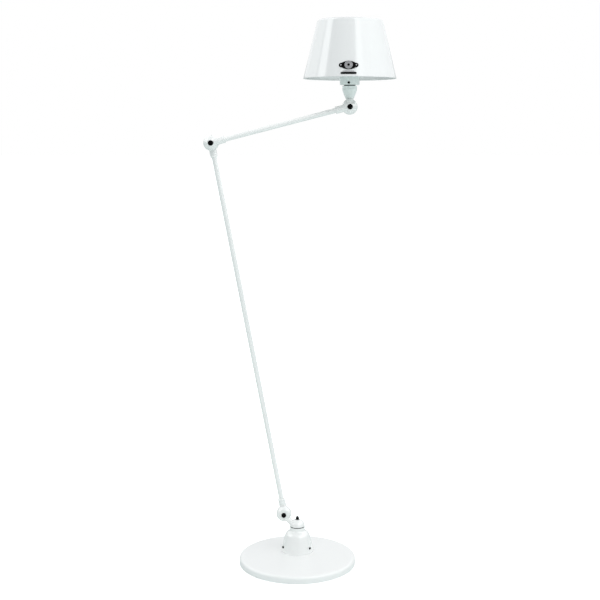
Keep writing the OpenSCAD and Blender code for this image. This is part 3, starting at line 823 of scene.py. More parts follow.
@dataclass
class Pedestal:
    """The bell on the base, with its screws."""

    wall: float = 3 * MM
    neck_radius: float = 15.8 * MM
    skirt_soft: float = 0.7 * MM
    screw_height: float = 26 * MM
    screw_hole: float = 1.9 * MM
    first_screw: float = -37.0

    def build(self) -> None:
        """Builds the pedestal's pieces."""
        self.bell()
        self.screws()

    def outer(self, r: float, low: float, top: float) -> Outline:
        """Draws the bell's outside, from the foot up to the neck's rim."""
        height = top - low
        shoulder = low + 35 * MM
        neck = self.neck_radius
        outline = [(r - 2 * self.skirt_soft, low)]
        outline += pulled((r - 0.4 * MM, low), (r, low), (r - 0.1 * MM, low + self.skirt_soft), 3)
        outline += pulled((r - 0.2 * MM, low + 1.4 * MM), (r - 2.5 * MM, low + 13 * MM),
                          (r - 9 * MM, shoulder), 20)[0:]
        outline += pulled((r - 9 * MM, shoulder), (r - 10.5 * MM, low + 40 * MM),
                          (r - 17.5 * MM, low + height - 8.5 * MM), 14)[1:]
        outline += pulled((r - 17.5 * MM, low + height - 8.5 * MM),
                          (neck, low + height - 7.3 * MM), (neck, low + height - 4 * MM), 8)[1:]
        outline += rounded([Corner(neck, top - 1.2 * MM), Corner(neck, top, 0.5 * MM),
                            Corner(neck - 3.4 * MM, top)])
        return outline

    def bell(self) -> None:
        """Models the bell as a shell with three screw holes."""
        span = Span.of("pedestal_bell")
        r, low, top = span.radius, span.low.z, span.high.z
        inner_neck = self.neck_radius - 3.4 * MM
        outline = self.outer(r, low, top)
        outline += [(inner_neck, top - 13.5 * MM), (8 * MM, top - 13.5 * MM),
                    (8 * MM, top - 18.5 * MM)]
        outline += pulled((r - 12.5 * MM, top - 18.5 * MM), (r - 5.8 * MM, low + 13 * MM),
                          (r - 3.5 * MM, low), 12)
        bell = Bench.turned("bell_shell", outline, closed=True, steps=144)
        Bench.place(bell, span.axis_foot)
        for place, aim in self.screw_places(span):
            drill = Bench.turned("drill", [(0, -9 * MM), (self.screw_hole, -9 * MM),
                                           (self.screw_hole, 9 * MM), (0, 9 * MM)], steps=32)
            Bench.place(drill, place, aim)
            Bench.combine(bell, drill, "DIFFERENCE")
        Dress("base", ("pedestal_bell",), ENAMEL, crease=40).put_on(bell)

    def screw_places(self, span: Span) -> list[tuple[Vector, Vector]]:
        """Returns each bell screw's seat and the way it points."""
        screws = Span.of("bell_screws")
        axis = span.axis_foot
        reach = max(screws.high.x - axis.x, axis.x - screws.low.x,
                    screws.high.y - axis.y, axis.y - screws.low.y)
        places = []
        for i in range(3):
            angle = math.radians(self.first_screw + 120 * i)
            out = Vector((math.cos(angle), math.sin(angle), 0))
            places.append((axis + out * (reach - 1.8 * MM) + UP * self.screw_height, out))
        return places

    def screws(self) -> None:
        """Models one bell screw and copies it round the skirt."""
        places = self.screw_places(Span.of("pedestal_bell"))
        first = ButtonScrew(shank_l=8 * MM, shank_r=1.6 * MM).model("bell_screw_1")
        screws = [first] + [Bench.copy(first, f"bell_screw_{i}") for i in (2, 3)]
        for screw, (place, aim) in zip(screws, places):
            Bench.place(screw, place, aim)
            Dress("base", ("bell_screws",), BLACK_STEEL).put_on(screw)


# ---------------------------------------------------------------- knuckles and arms


@dataclass
class Knuckle:
    """Sizes and small parts that every knuckle shares."""

    ball: float = 16 * MM
    flat: float = 15 * MM
    sleeve_r: float = 7.3 * MM
    disc_r: float = 15.2 * MM
    disc_bore: float = 9.5 * MM
    disc_slack: float = 0.05 * MM
    bolt_r: float = 2.5 * MM
    nut_flats: float = 8 * MM
    nut_flange: float = 4.9 * MM
    nut_hex: float = 4.2 * MM
    nut_height: float = 7.1 * MM
    end_r: float = 2.6 * MM
    thread: float = 0.5 * MM
    spring_r: float = 5.5 * MM
    spring_t: float = 1 * MM
    head_r: float = 4.75 * MM
    head_h: float = 3.4 * MM
    key: float = 3 * MM

    @property
    def gap(self) -> float:
        """The gap between a knuckle's halves, which the friction disc fills."""
        disc = Span.of("swivel_friction_disc")
        return disc.high.z - disc.low.z + self.disc_slack

    @property
    def offset(self) -> float:
        """How far the arms' planes lie from a knuckle's middle."""
        return self.gap / 2 + self.sleeve_r

    def half_ball(self, name: str, bulge: float = 0.0) -> bpy.types.Object:
        """Models half a ball with its flat side down, drilled for the bolt.

        Args:
            name: The object's name.
            bulge: Height of a straight part under the dome, which makes the half fuller.

        Returns:
            The half ball, centred on the origin.
        """
        foot, hole = self.gap / 2, self.bolt_r + 0.4 * MM
        start = 0.0 if bulge else math.degrees(math.asin(foot / self.ball)) + 1.5
        end = math.degrees(math.asin((self.flat - bulge) / self.ball))
        outline = [(hole, foot), (self.ball - 0.5 * MM, foot)]
        if bulge:
            outline += [(self.ball, foot + 0.5 * MM)]
        outline += arc((0, bulge), self.ball, start, end - 1.5, 26)
        outline += [(hole, self.flat)]
        return Bench.turned(name, outline, closed=True, steps=112)

    def nut(self, name: str, size: float = 1.0) -> bpy.types.Object:
        """Models a flanged nut with the bolt's domed end.

        Args:
            name: The object's name.
            size: How wide it is, against the plain nut.

        Returns:
            The nut, standing on the origin.
        """
        flange, flats, end = size * self.nut_flange, size * self.nut_flats, self.end_r
        hexagon = flats / 2
        foot = rounded([
            Corner(0, 0), Corner(flange, 0, 0.2 * MM), Corner(flange, 0.75 * MM, 0.3 * MM),
            Corner(hexagon, 1.15 * MM), Corner(0, 1.15 * MM)])
        nut = Bench.turned(name, foot, steps=64)
        body = Bench.prism("nut_hexagon", 6, flats, 0.5 * MM, self.nut_hex)
        Bench.soften(body, 0.3 * MM, 3)
        outline = [(0, 2 * MM), (end, 2 * MM), (end, self.nut_hex)]
        for k in range(3):
            crest = self.nut_hex + self.thread * (k + 1)
            outline += [(0.92 * end, crest - 0.5 * self.thread), (end, crest)]
        outline += pulled((end, self.nut_height - 1.3 * MM), (0.95 * end, self.nut_height),
                          (0.2 * end, self.nut_height), 8)
        outline += [(0, self.nut_height)]
        Bench.combine(nut, body, "UNION")
        Bench.combine(nut, Bench.turned("bolt_end", outline, steps=48), "UNION")
        Bench.weld(nut)
        return nut

    def bolt(self, name: str) -> bpy.types.Object:
        """Models a socket-head bolt with its head's underside on the origin."""
        head, height, shank = self.head_r, self.head_h, 2 * self.flat + 4.5 * MM
        outline = rounded([
            Corner(0, -shank), Corner(self.bolt_r, -shank, 0.5 * MM), Corner(self.bolt_r, 0),
            Corner(head, 0, 0.2 * MM), Corner(head, height, 0.7 * MM), Corner(0, height)])
        bolt = Bench.turned(name, outline, steps=64)
        Bench.combine(bolt, Bench.prism("socket", 6, self.key, height - 2 * MM, height + 1 * MM),
                      "DIFFERENCE")
        return bolt

    def ring(self, name: str, outer: float, inner: float, low: float, high: float,
             soft: float) -> bpy.types.Object:
        """Models a flat ring with softened edges."""
        outline = rounded([
            Corner(inner, low, soft), Corner(outer, low, soft), Corner(outer, high, soft),
            Corner(inner, high, soft)], closed=True, steps=3)
        return Bench.turned(name, outline, closed=True, steps=96)

    def spring(self, name: str) -> bpy.types.Object:
        """Models a conical disc spring that stands on the origin."""
        hole, r, t = self.bolt_r + 0.1 * MM, self.spring_r, self.spring_t
        outline = rounded([
            Corner(hole, 0.25 * t, 0.1 * MM), Corner(r - 0.1 * MM, 0, 0.15 * MM),
            Corner(r - 0.2 * MM, 0.6 * t, 0.15 * MM), Corner(hole, t, 0.1 * MM)],
            closed=True, steps=3)
        return Bench.turned(name, outline, closed=True, steps=64)

    def clamp_set(self, prefix: str, body: str, centre: Vector, nut_size: float) -> None:
        """Models the nut, bolt, disc spring and friction disc of a knuckle.

        Args:
            prefix: The start of the CAD nodes' names, such as elbow.
            body: The body that they ride on.
            centre: The knuckle's centre.
            nut_size: How wide the nut is, against the plain nut.
        """
        nut = self.nut(f"{prefix}_dome_nut", nut_size)
        Bench.place(nut, centre + FRONT * self.flat, FRONT)
        Dress(body, (f"{prefix}_cap_nut",), BLACK_STEEL, crease=28).put_on(nut)
        bolt = self.bolt(f"{prefix}_clamp_bolt")
        Bench.place(bolt, centre + REAR * (self.flat + self.spring_t), REAR)
        Dress(body, (f"{prefix}_bolt",), BLACK_STEEL).put_on(bolt)
        spring = self.spring(f"{prefix}_disc_spring")
        Bench.place(spring, centre + REAR * self.flat, REAR)
        Dress(body, (f"{prefix}_spring_washer",), ZINC).put_on(spring)
        # The disc's near-black tone is partly painted shade of the gap between the knuckle's halves.
        disc = self.ring(f"{prefix}_brake_disc", self.disc_r, self.disc_bore,
                         -self.gap / 2, self.gap / 2 - self.disc_slack, 0.12 * MM)
        Bench.place(disc, centre, REAR)
        Dress(body, (f"{prefix}_friction_disc",), FIBRE_WITH_PAINTED_SHADE).put_on(disc)


KNUCKLE = Knuckle()


@dataclass
class Socket:
    """A cast half knuckle with the sleeve that holds a tube."""

    node: str
    body: str
    centre: Vector
    side: Vector
    aim: Vector
    lip_r: float = 7.7 * MM
    lip_t: float = 2.4 * MM
    reach: float = 30 * MM
    start: float = 6.5 * MM
    seat: float = 13 * MM
    bore: float = 5.05 * MM
    voxel: float = 0.42 * MM
    rounds: int = 7

    def sleeve(self) -> bpy.types.Object:
        """Models the sleeve, with a bead at its mouth and the tube's bore."""
        r, lip, reach = KNUCKLE.sleeve_r, self.lip_r, self.reach
        outline = rounded([
            Corner(0, self.start), Corner(r, self.start), Corner(r, reach - self.lip_t - 0.3 * MM),
            Corner(lip, reach - self.lip_t + 0.2 * MM, 0.4 * MM), Corner(lip, reach, 0.9 * MM),
            Corner(self.bore, reach, 0.4 * MM), Corner(self.bore, self.seat),
            Corner(0, self.seat)])
        return Bench.turned("sleeve", outline, steps=96)

    def build(self) -> None:
        """Models the casting and hands it over."""
        casting = KNUCKLE.half_ball(f"{self.node}_casting")
        Bench.place(casting, self.centre, self.side)
        sleeve = self.sleeve()
        Bench.place(sleeve, self.centre + self.side * KNUCKLE.offset, self.aim)
        Bench.combine(casting, sleeve, "UNION")
        Bench.cast(casting, self.voxel, self.rounds)
        Dress(self.body, (self.node,), ENAMEL, crease=180).put_on(casting)


@dataclass
class Link:
    """The swivel link: dome, sloping neck and front half of the lowest knuckle, in one casting."""

    neck_r: float = 6.3 * MM
    foot: float = 6.2 * MM
    bulge: float = 4 * MM
    voxel: float = 0.42 * MM
    rounds: int = 9

    def build(self) -> None:
        """Models the link and hands it over."""
        swivel, lower = joint_place("base_swivel"), joint_place("lower_tilt")
        link = KNUCKLE.half_ball("swivel_link_casting")
        Bench.place(link, swivel)
        knuckle = KNUCKLE.half_ball("knuckle_half", self.bulge)
        Bench.place(knuckle, lower, FRONT)
        start = Vector((lower.x, swivel.y, lower.z))
        end = Vector((swivel.x - self.foot, swivel.y, swivel.z))
        way = end - start
        neck = Bench.turned("neck", [
            (0, 6.5 * MM), (self.neck_r, 6.5 * MM), (self.neck_r, way.length + 6 * MM),
            (0, way.length + 6 * MM)], steps=96)
        Bench.place(neck, start, way)
        base = swivel.z + KNUCKLE.gap / 2
        reach = 40 * MM
        below = Bench.block("below", Vector((swivel.x - reach, swivel.y - reach, base - reach)),
                            Vector((swivel.x + reach, swivel.y + reach, base)))
        Bench.combine(neck, below, "DIFFERENCE")
        Bench.combine(link, neck, "UNION")
        Bench.combine(link, knuckle, "UNION")
        Bench.cast(link, self.voxel, self.rounds)
        Dress("swivel", ("swivel_link",), ENAMEL, crease=180).put_on(link)


@dataclass
class SwivelJoint:
    """The upright swivel between bell and link: its friction disc and dome nut."""

    def build(self) -> None:
        """Builds the swivel's visible hardware."""
        centre = joint_place("base_swivel")
        nut = KNUCKLE.nut("swivel_dome_nut", 0.82)
        Bench.place(nut, centre + UP * KNUCKLE.flat, UP, math.radians(12))
        Dress("base", ("swivel_cap_nut",), BLACK_STEEL, crease=28).put_on(nut)
        # The disc's near-black tone is partly painted shade of the gap under the dome.
        disc = KNUCKLE.ring("swivel_brake_disc", KNUCKLE.disc_r, KNUCKLE.disc_bore,
                            -KNUCKLE.gap / 2, KNUCKLE.gap / 2 - KNUCKLE.disc_slack,
                            0.12 * MM)
        Bench.place(disc, centre)
        Dress("base", ("swivel_friction_disc",), FIBRE_WITH_PAINTED_SHADE).put_on(disc)


@dataclass
class ArmTube:
    """A drawn steel tube between two knuckles."""

    node: str
    body: str
    start: Vector
    end: Vector
    radius: float = 5 * MM
    wall: float = 1.2 * MM
    seat: float = 13 * MM
    ring_step: float = 20 * MM

    def build(self) -> None:
        """Models the tube and hands it over."""
        way = self.end - self.start
        inner = self.radius - self.wall
        length = way.length - 2 * self.seat
        rings = max(2, round(length / self.ring_step))
        outline = rounded([
            Corner(inner, 0, 0.2 * MM), Corner(self.radius, 0, 0.3 * MM),
            *[Corner(self.radius, length * k / rings) for k in range(1, rings)],
            Corner(self.radius, length, 0.3 * MM), Corner(inner, length, 0.2 * MM)],
            closed=True, steps=3)
        tube = Bench.turned(f"{self.node}_drawn", outline, closed=True, steps=64)
        Bench.place(tube, self.start + way.normalized() * self.seat, way)
        Dress(self.body, (self.node,), ENAMEL).put_on(tube)


@dataclass
class Arms:
    """Both arms, their sockets and the hardware of the three knuckles."""

    def build(self) -> None:
        """Builds the arms from the joints' places."""
        lower, elbow, head = (joint_place(n) for n in ("lower_tilt", "elbow_tilt", "head_tilt"))
        rear, front = REAR * KNUCKLE.offset, FRONT * KNUCKLE.offset
        up_long, along_short = (elbow - lower).normalized(), (head - elbow).normalized()
        Socket("lower_arm_socket", "long_arm", lower, REAR, up_long).build()
        Socket("elbow_rear_socket", "long_arm", elbow, REAR, -up_long).build()
        Socket("elbow_front_socket", "short_arm", elbow, FRONT, along_short).build()
        Socket("head_front_socket", "short_arm", head, FRONT, -along_short).build()
        ArmTube("long_tube", "long_arm", lower + rear, elbow + rear).build()
        ArmTube("short_tube", "short_arm", elbow + front, head + front).build()
        KNUCKLE.clamp_set("lower", "swivel", lower, nut_size=1.04)
        KNUCKLE.clamp_set("elbow", "short_arm", elbow, nut_size=1.12)
        KNUCKLE.clamp_set("head", "short_arm", head, nut_size=1.12)


# ---------------------------------------------------------------- head


@dataclass
class Head:
    """The tilting neck, the socket cup and the collar below the shade."""

    neck_r: float = 7.3 * MM
    stub_r: float = 6.5 * MM
    cup_low_r: float = 8.1 * MM
    cup_r: float = 15 * MM
    cup_wall: float = 2 * MM
    collar_wall: float = 2 * MM
    screw_up: float = 4 * MM
    screw_turn: float = 8.0

    def build(self) -> None:
        """Builds the head's pieces."""
        self.neck()
        self.cup()
        self.washer()
        self.collar()

    def neck(self) -> None:
        """Models the rear half of the head knuckle with its neck."""
        head = joint_place("head_tilt")
        cup, span = Span.of("socket_cup"), Span.of("head_neck")
        neck = KNUCKLE.half_ball("head_neck_casting")
        Bench.place(neck, head, REAR)
        waist = cup.low.z - head.z
        stem = Bench.turned("stem", [
            (0, 6.5 * MM), (self.neck_r, 6.5 * MM), (self.neck_r + 0.6 * MM, waist + 1 * MM),
            (self.stub_r, waist + 1 * MM), (self.stub_r, span.high.z - head.z),
            (0, span.high.z - head.z)], steps=96)
        Bench.place(stem, head + REAR * KNUCKLE.offset)
        Bench.combine(neck, stem, "UNION")
        Bench.cast(neck, 0.42 * MM, 7)
        Dress("head", ("head_neck",), ENAMEL, crease=180).put_on(neck)

    def cup(self) -> None:
        """Models the spun cup that flares from the neck to the collar."""
        span = Span.of("socket_cup")
        low, top = span.low.z, span.high.z
        r = self.cup_r
        outline = [(self.stub_r + 0.1 * MM, low + 0.1 * MM), (self.cup_low_r - 0.2 * MM, low)]
        outline += pulled((self.cup_low_r, low + 0.2 * MM), (r - 1.2 * MM, top - 12 * MM),
                          (r, top - 8 * MM), 18)
        outline += rounded([Corner(r, top - 4 * MM), Corner(r, top, 1.2 * MM),
                            Corner(6 * MM, top), Corner(6 * MM, top - self.cup_wall),
                            Corner(self.stub_r + 0.1 * MM, top - self.cup_wall - 3 * MM)])
        cup = Bench.turned("socket_cup_spun", outline, closed=True, steps=112)
        Bench.place(cup, span.axis_foot)
        # The cup's greener tone is painted shade from under the lampshade.
        Dress("head", ("socket_cup",), CUP_ENAMEL_WITH_PAINTED_SHADE).put_on(cup)

    def washer(self) -> None:
        """Models the near-black washer between cup and collar; its darkness is partly painted shade of
        the groove there.
        """
        span = Span.of("holder_washer")
        washer = KNUCKLE.ring("groove_washer", span.radius, 5.05 * MM, span.low.z, span.high.z,
                              0.15 * MM)
        Bench.place(washer, span.axis_foot)
        Dress("head", ("holder_washer",), FIBRE_WITH_PAINTED_SHADE).put_on(washer)

    def collar(self) -> None:
        """Models the collar and its clamping screw."""
        span = Span.of("collar")
        r, low, top = span.radius, span.low.z, span.high.z
        inner, floor, hole = r - self.collar_wall, low + self.collar_wall, 5.05 * MM
        outline = rounded([
            Corner(hole, low), Corner(r, low, 1.1 * MM), Corner(r, top, 0.6 * MM),
            Corner(inner, top, 0.5 * MM), Corner(inner, floor, 1 * MM), Corner(hole, floor)],
            closed=True)
        collar = Bench.turned("collar_ring", outline, closed=True, steps=128)
        Bench.place(collar, span.axis_foot)
        angle = math.radians(-90 - self.screw_turn)
        out = Vector((math.cos(angle), math.sin(angle), 0))
        seat = span.axis_foot + UP * (low + self.screw_up) + out * (r + 0.05 * MM)
        drill = Bench.turned("drill", [(0, -4 * MM), (1.6 * MM, -4 * MM), (1.6 * MM, 4 * MM),
                                       (0, 4 * MM)], steps=32)
        Bench.place(drill, seat, out)
        Bench.combine(collar, drill, "DIFFERENCE")
        # The collar's greener tone is painted shade from under the lampshade.
        Dress("head", ("collar",), CUP_ENAMEL_WITH_PAINTED_SHADE, crease=40).put_on(collar)
        screw = ButtonScrew(head_h=1.5 * MM, shank_l=2.2 * MM).model("collar_clamp_screw")
        Bench.place(screw, seat, out)
        Dress("head", ("collar_screw",), BLACK_STEEL).put_on(screw)


@dataclass
class Lampholder:
    """The lampholder inside the shade, with its ring and the bulb."""

    well_r: float = 14.6 * MM
    rib: float = 0.5 * MM
    thread_pitch: float = 3.6 * MM
    thread_depth: float = 0.55 * MM

    def build(self) -> None:
        """Builds the lampholder's pieces."""
        self.body()
        self.thread_shell()
        self.ring()
        self.bulb_cap()
        self.bulb_glass()

    def body(self) -> None:
        """Models the glazed body, with shallow ribs round it."""
        span = Span.of("lampholder_body")
        r, low, top = span.radius, span.low.z, span.high.z
        floor = Span.of("lampholder_contact").low.z
        corners = [Corner(5.05 * MM, low), Corner(r, low, 0.8 * MM)]
        for k in range(3):
            z = low + (0.58 + 0.12 * k) * (top - low)
            corners += [Corner(r, z - 1 * MM, 0.3 * MM), Corner(r - self.rib, z - 0.5 * MM, 0.3 * MM),
                        Corner(r - self.rib, z + 0.5 * MM, 0.3 * MM),
                        Corner(r, z + 1 * MM, 0.3 * MM)]
        corners += [Corner(r, top, 1 * MM), Corner(self.well_r, top, 0.6 * MM),
                    Corner(self.well_r, floor, 0.5 * MM), Corner(2.5 * MM, floor),
                    Corner(2.5 * MM, low + 5 * MM), Corner(5.05 * MM, low + 5 * MM)]
        body = Bench.turned("lampholder_porcelain", rounded(corners, closed=True), closed=True)
        Bench.place(body, span.axis_foot)
        Dress("head", ("lampholder_body",), PORCELAIN).put_on(body)

    def wave(self, r: float, low: float, high: float, depth: float) -> Outline:
        """Draws a thread's outline as a wave between two heights."""
        count = max(int((high - low) / self.thread_pitch * 10), 10)
        points = []
        for k in range(count + 1):
            z = low + (high - low) * k / count
            swing = 0.5 + 0.5 * math.cos(2 * math.pi * (z - low) / self.thread_pitch)
            points.append((r - depth * (1 - swing), z))
        return points

    def thread_shell(self) -> None:
        """Models the rolled brass thread inside the lampholder."""
        span = Span.of("lampholder_shell")
        outer = self.wave(span.radius, span.low.z, span.high.z, 0.25 * MM)
        inner = self.wave(span.radius - 0.55 * MM, span.low.z, span.high.z, 0.25 * MM)
        shell = Bench.turned("lampholder_thread", outer + inner[::-1], closed=True)
        Bench.place(shell, span.axis_foot)
        Dress("head", ("lampholder_shell",), BRASS).put_on(shell)

    def ring(self) -> None:
        """Models the screwed ring that clamps the shade's spider, with grip notches."""
        span = Span.of("shade_ring")
        ring = KNUCKLE.ring("shade_ring_nut", span.radius, Span.of("lampholder_body").radius + 0.05 * MM,
                            span.low.z, span.high.z, 0.6 * MM)
        for k in range(12):
            angle = math.tau * k / 12
            notch = Bench.turned("notch", [(0, span.low.z - 1 * MM), (1.1 * MM, span.low.z - 1 * MM),
                                           (1.1 * MM, span.high.z + 1 * MM),
                                           (0, span.high.z + 1 * MM)], steps=16)
            out = Vector((math.cos(angle), math.sin(angle), 0))
            Bench.place(notch, out * (span.radius + 0.3 * MM))
            Bench.combine(ring, notch, "DIFFERENCE")
        Bench.place(ring, span.axis_foot)
        Dress("head", ("shade_ring",), RING_PLASTIC).put_on(ring)

    def bulb_cap(self) -> None:
        """Models the bulb's threaded cap with its centre contact."""
        span = Span.of("bulb_cap")
        r, low, top = span.radius, span.low.z, span.high.z
        start = low + 4.2 * MM
        outline = [(0, low), (4.2 * MM, low), (4.5 * MM, low + 0.4 * MM), (4.5 * MM, low + 2 * MM),
                   (8 * MM, low + 2.6 * MM), (r - 1.2 * MM, start)]
        outline += self.wave(r, start + 0.6 * MM, top - 4 * MM, self.thread_depth)
        outline += [(r - 0.1 * MM, top - 2.5 * MM), (r, top), (0, top)]
        cap = Bench.turned("bulb_screw_cap", outline)
        Bench.place(cap, span.axis_foot)
        Dress("head", ("bulb_cap",), ZINC).put_on(cap)

    def bulb_glass(self) -> None:
        """Models the opal bulb as a thin shell."""
        span = Span.of("bulb_glass")
        wall, cap_r = 1 * MM, Span.of("bulb_cap").radius
        r = span.radius
        middle = span.high.z - r

        def skin(inset: float) -> Outline:
            """Draws the bulb's outline, drawn in by inset."""
            size, neck = r - inset, cap_r - inset
            lean = math.radians(-33)
            points = pulled((neck, span.low.z), (neck + 1.5 * MM, middle - 27 * MM),
                            (size * math.cos(lean), middle + size * math.sin(lean)), 14)
            return points[:-1] + arc((0, middle), size, -33, 88, 30)

        outline = skin(0) + [(0.2 * MM, span.high.z), (0.2 * MM, span.high.z - wall)]
        outline += skin(wall)[::-1]
        glass = Bench.turned("bulb_opal_glass", outline, closed=True, steps=96)
        Bench.place(glass, span.axis_foot)
        Dress("head", ("bulb_glass",), OPAL).put_on(glass)


@dataclass
class Shade:
    """The tapered shade and the spider that carries it."""

    wall: float = 1 * MM
    edge: float = 6 * MM
    lip: float = 3 * MM
    hem: float = 2.6 * MM
    low_r: float = field(init=False)
    top_r: float = field(init=False)
    low: float = field(init=False)
    top: float = field(init=False)
    foot: Vector = field(init=False)

    def __post_init__(self) -> None:
        """Reads the shade's size from the frame."""
        span = Span.of("shade")
        self.low_r, self.low, self.top = span.radius, span.low.z, span.high.z
        self.foot = span.axis_foot
        self.top_r = self.low_r - self.slope * (self.top - self.low)

    @property
    def slope(self) -> float:
        """How much the radius shrinks for each unit of height."""
        return 29.0 / 117.0

    @property
    def tilt(self) -> float:
        """The wall's lean, in radians."""
        return math.atan(self.slope)

    def radius(self, up: float) -> float:
        """Returns the outside radius at a height above the lower rim."""
        return self.low_r - self.slope * up

    def build(self) -> None:
        """Builds the shade and its spider."""
        self.shell()
        self.spider()

    def shell(self) -> None:
        """Models the spun shell: rolled top edge, inner lip and a small hem at the rim."""
        tall, wall, edge = self.top - self.low, self.wall, self.edge
        bend = tall - edge + edge * math.sin(self.tilt)
        centre = (self.radius(bend) - edge * math.cos(self.tilt), self.top - edge)
        lean = math.degrees(self.tilt)
        rim, low = self.low_r, self.low
        lip = centre[0] - self.lip
        outline = rounded([
            Corner(rim - 2.0 * MM, low + self.hem, 0.3 * MM), Corner(rim - 1.6 * MM, low, 0.5 * MM),
            Corner(rim, low, 0.5 * MM), Corner(self.radius(4 * MM), low + 4 * MM),
            Corner(self.radius(20 * MM), low + 20 * MM)], steps=4)
        outline += [(self.radius(up), low + up) for up in
                    [tall * k / 12 for k in range(3, 12)] if up < bend - 4 * MM]
        outline += arc(centre, edge, lean, 90, 14)
        outline += [(lip + 0.3 * MM, self.top), (lip, self.top - 0.5 * wall),
                    (lip + 0.3 * MM, self.top - wall)]
        outline += arc(centre, edge - wall, 90, lean, 10)
        outline += [(self.radius(self.hem) - wall, low + self.hem + 0.6 * MM)]
        shell = Bench.turned("shade_shell", outline, closed=True, steps=256)
        Bench.place(shell, self.foot)
        # The darker tone of this enamel is painted shade, not a different paint.
        Dress("head", ("shade",), LAMPSHADE_ENAMEL_WITH_PAINTED_SHADE).put_on(shell)

    def spider(self) -> None:
        """Models the three-armed spider that carries the shade."""
        span = Span.of("shade_spider")
        low, thick, width = span.low.z, 1.8 * MM, 7 * MM
        bore = Span.of("lampholder_body").radius + 0.1 * MM
        outer = self.radius(low - self.low) - self.wall - 0.2 * MM
        spider = KNUCKLE.ring("shade_spider_arms", 24 * MM, bore, low, low + thick, 0.3 * MM)
        for k in range(3):
            arm = Bench.block("arm", Vector((22 * MM, -width / 2, low)),
                              Vector((outer - 1 * MM, width / 2, low + thick)))
            tab = Bench.block("tab", Vector((0, -width / 2, 0)), Vector((thick, width / 2, 9 * MM)))
            Bench.place(tab, Vector((outer - thick, 0, low)),
                        Vector((-math.sin(self.tilt), 0, math.cos(self.tilt))))
            Bench.combine(arm, tab, "UNION")
            Bench.soften(arm, 0.4 * MM, 2)
            Bench.place(arm, Vector((0, 0, 0)), UP, math.radians(30 + 120 * k))
            Bench.combine(spider, arm, "UNION")
        Bench.place(spider, self.foot)
        Dress("head", ("shade_spider",), ENAMEL).put_on(spider)


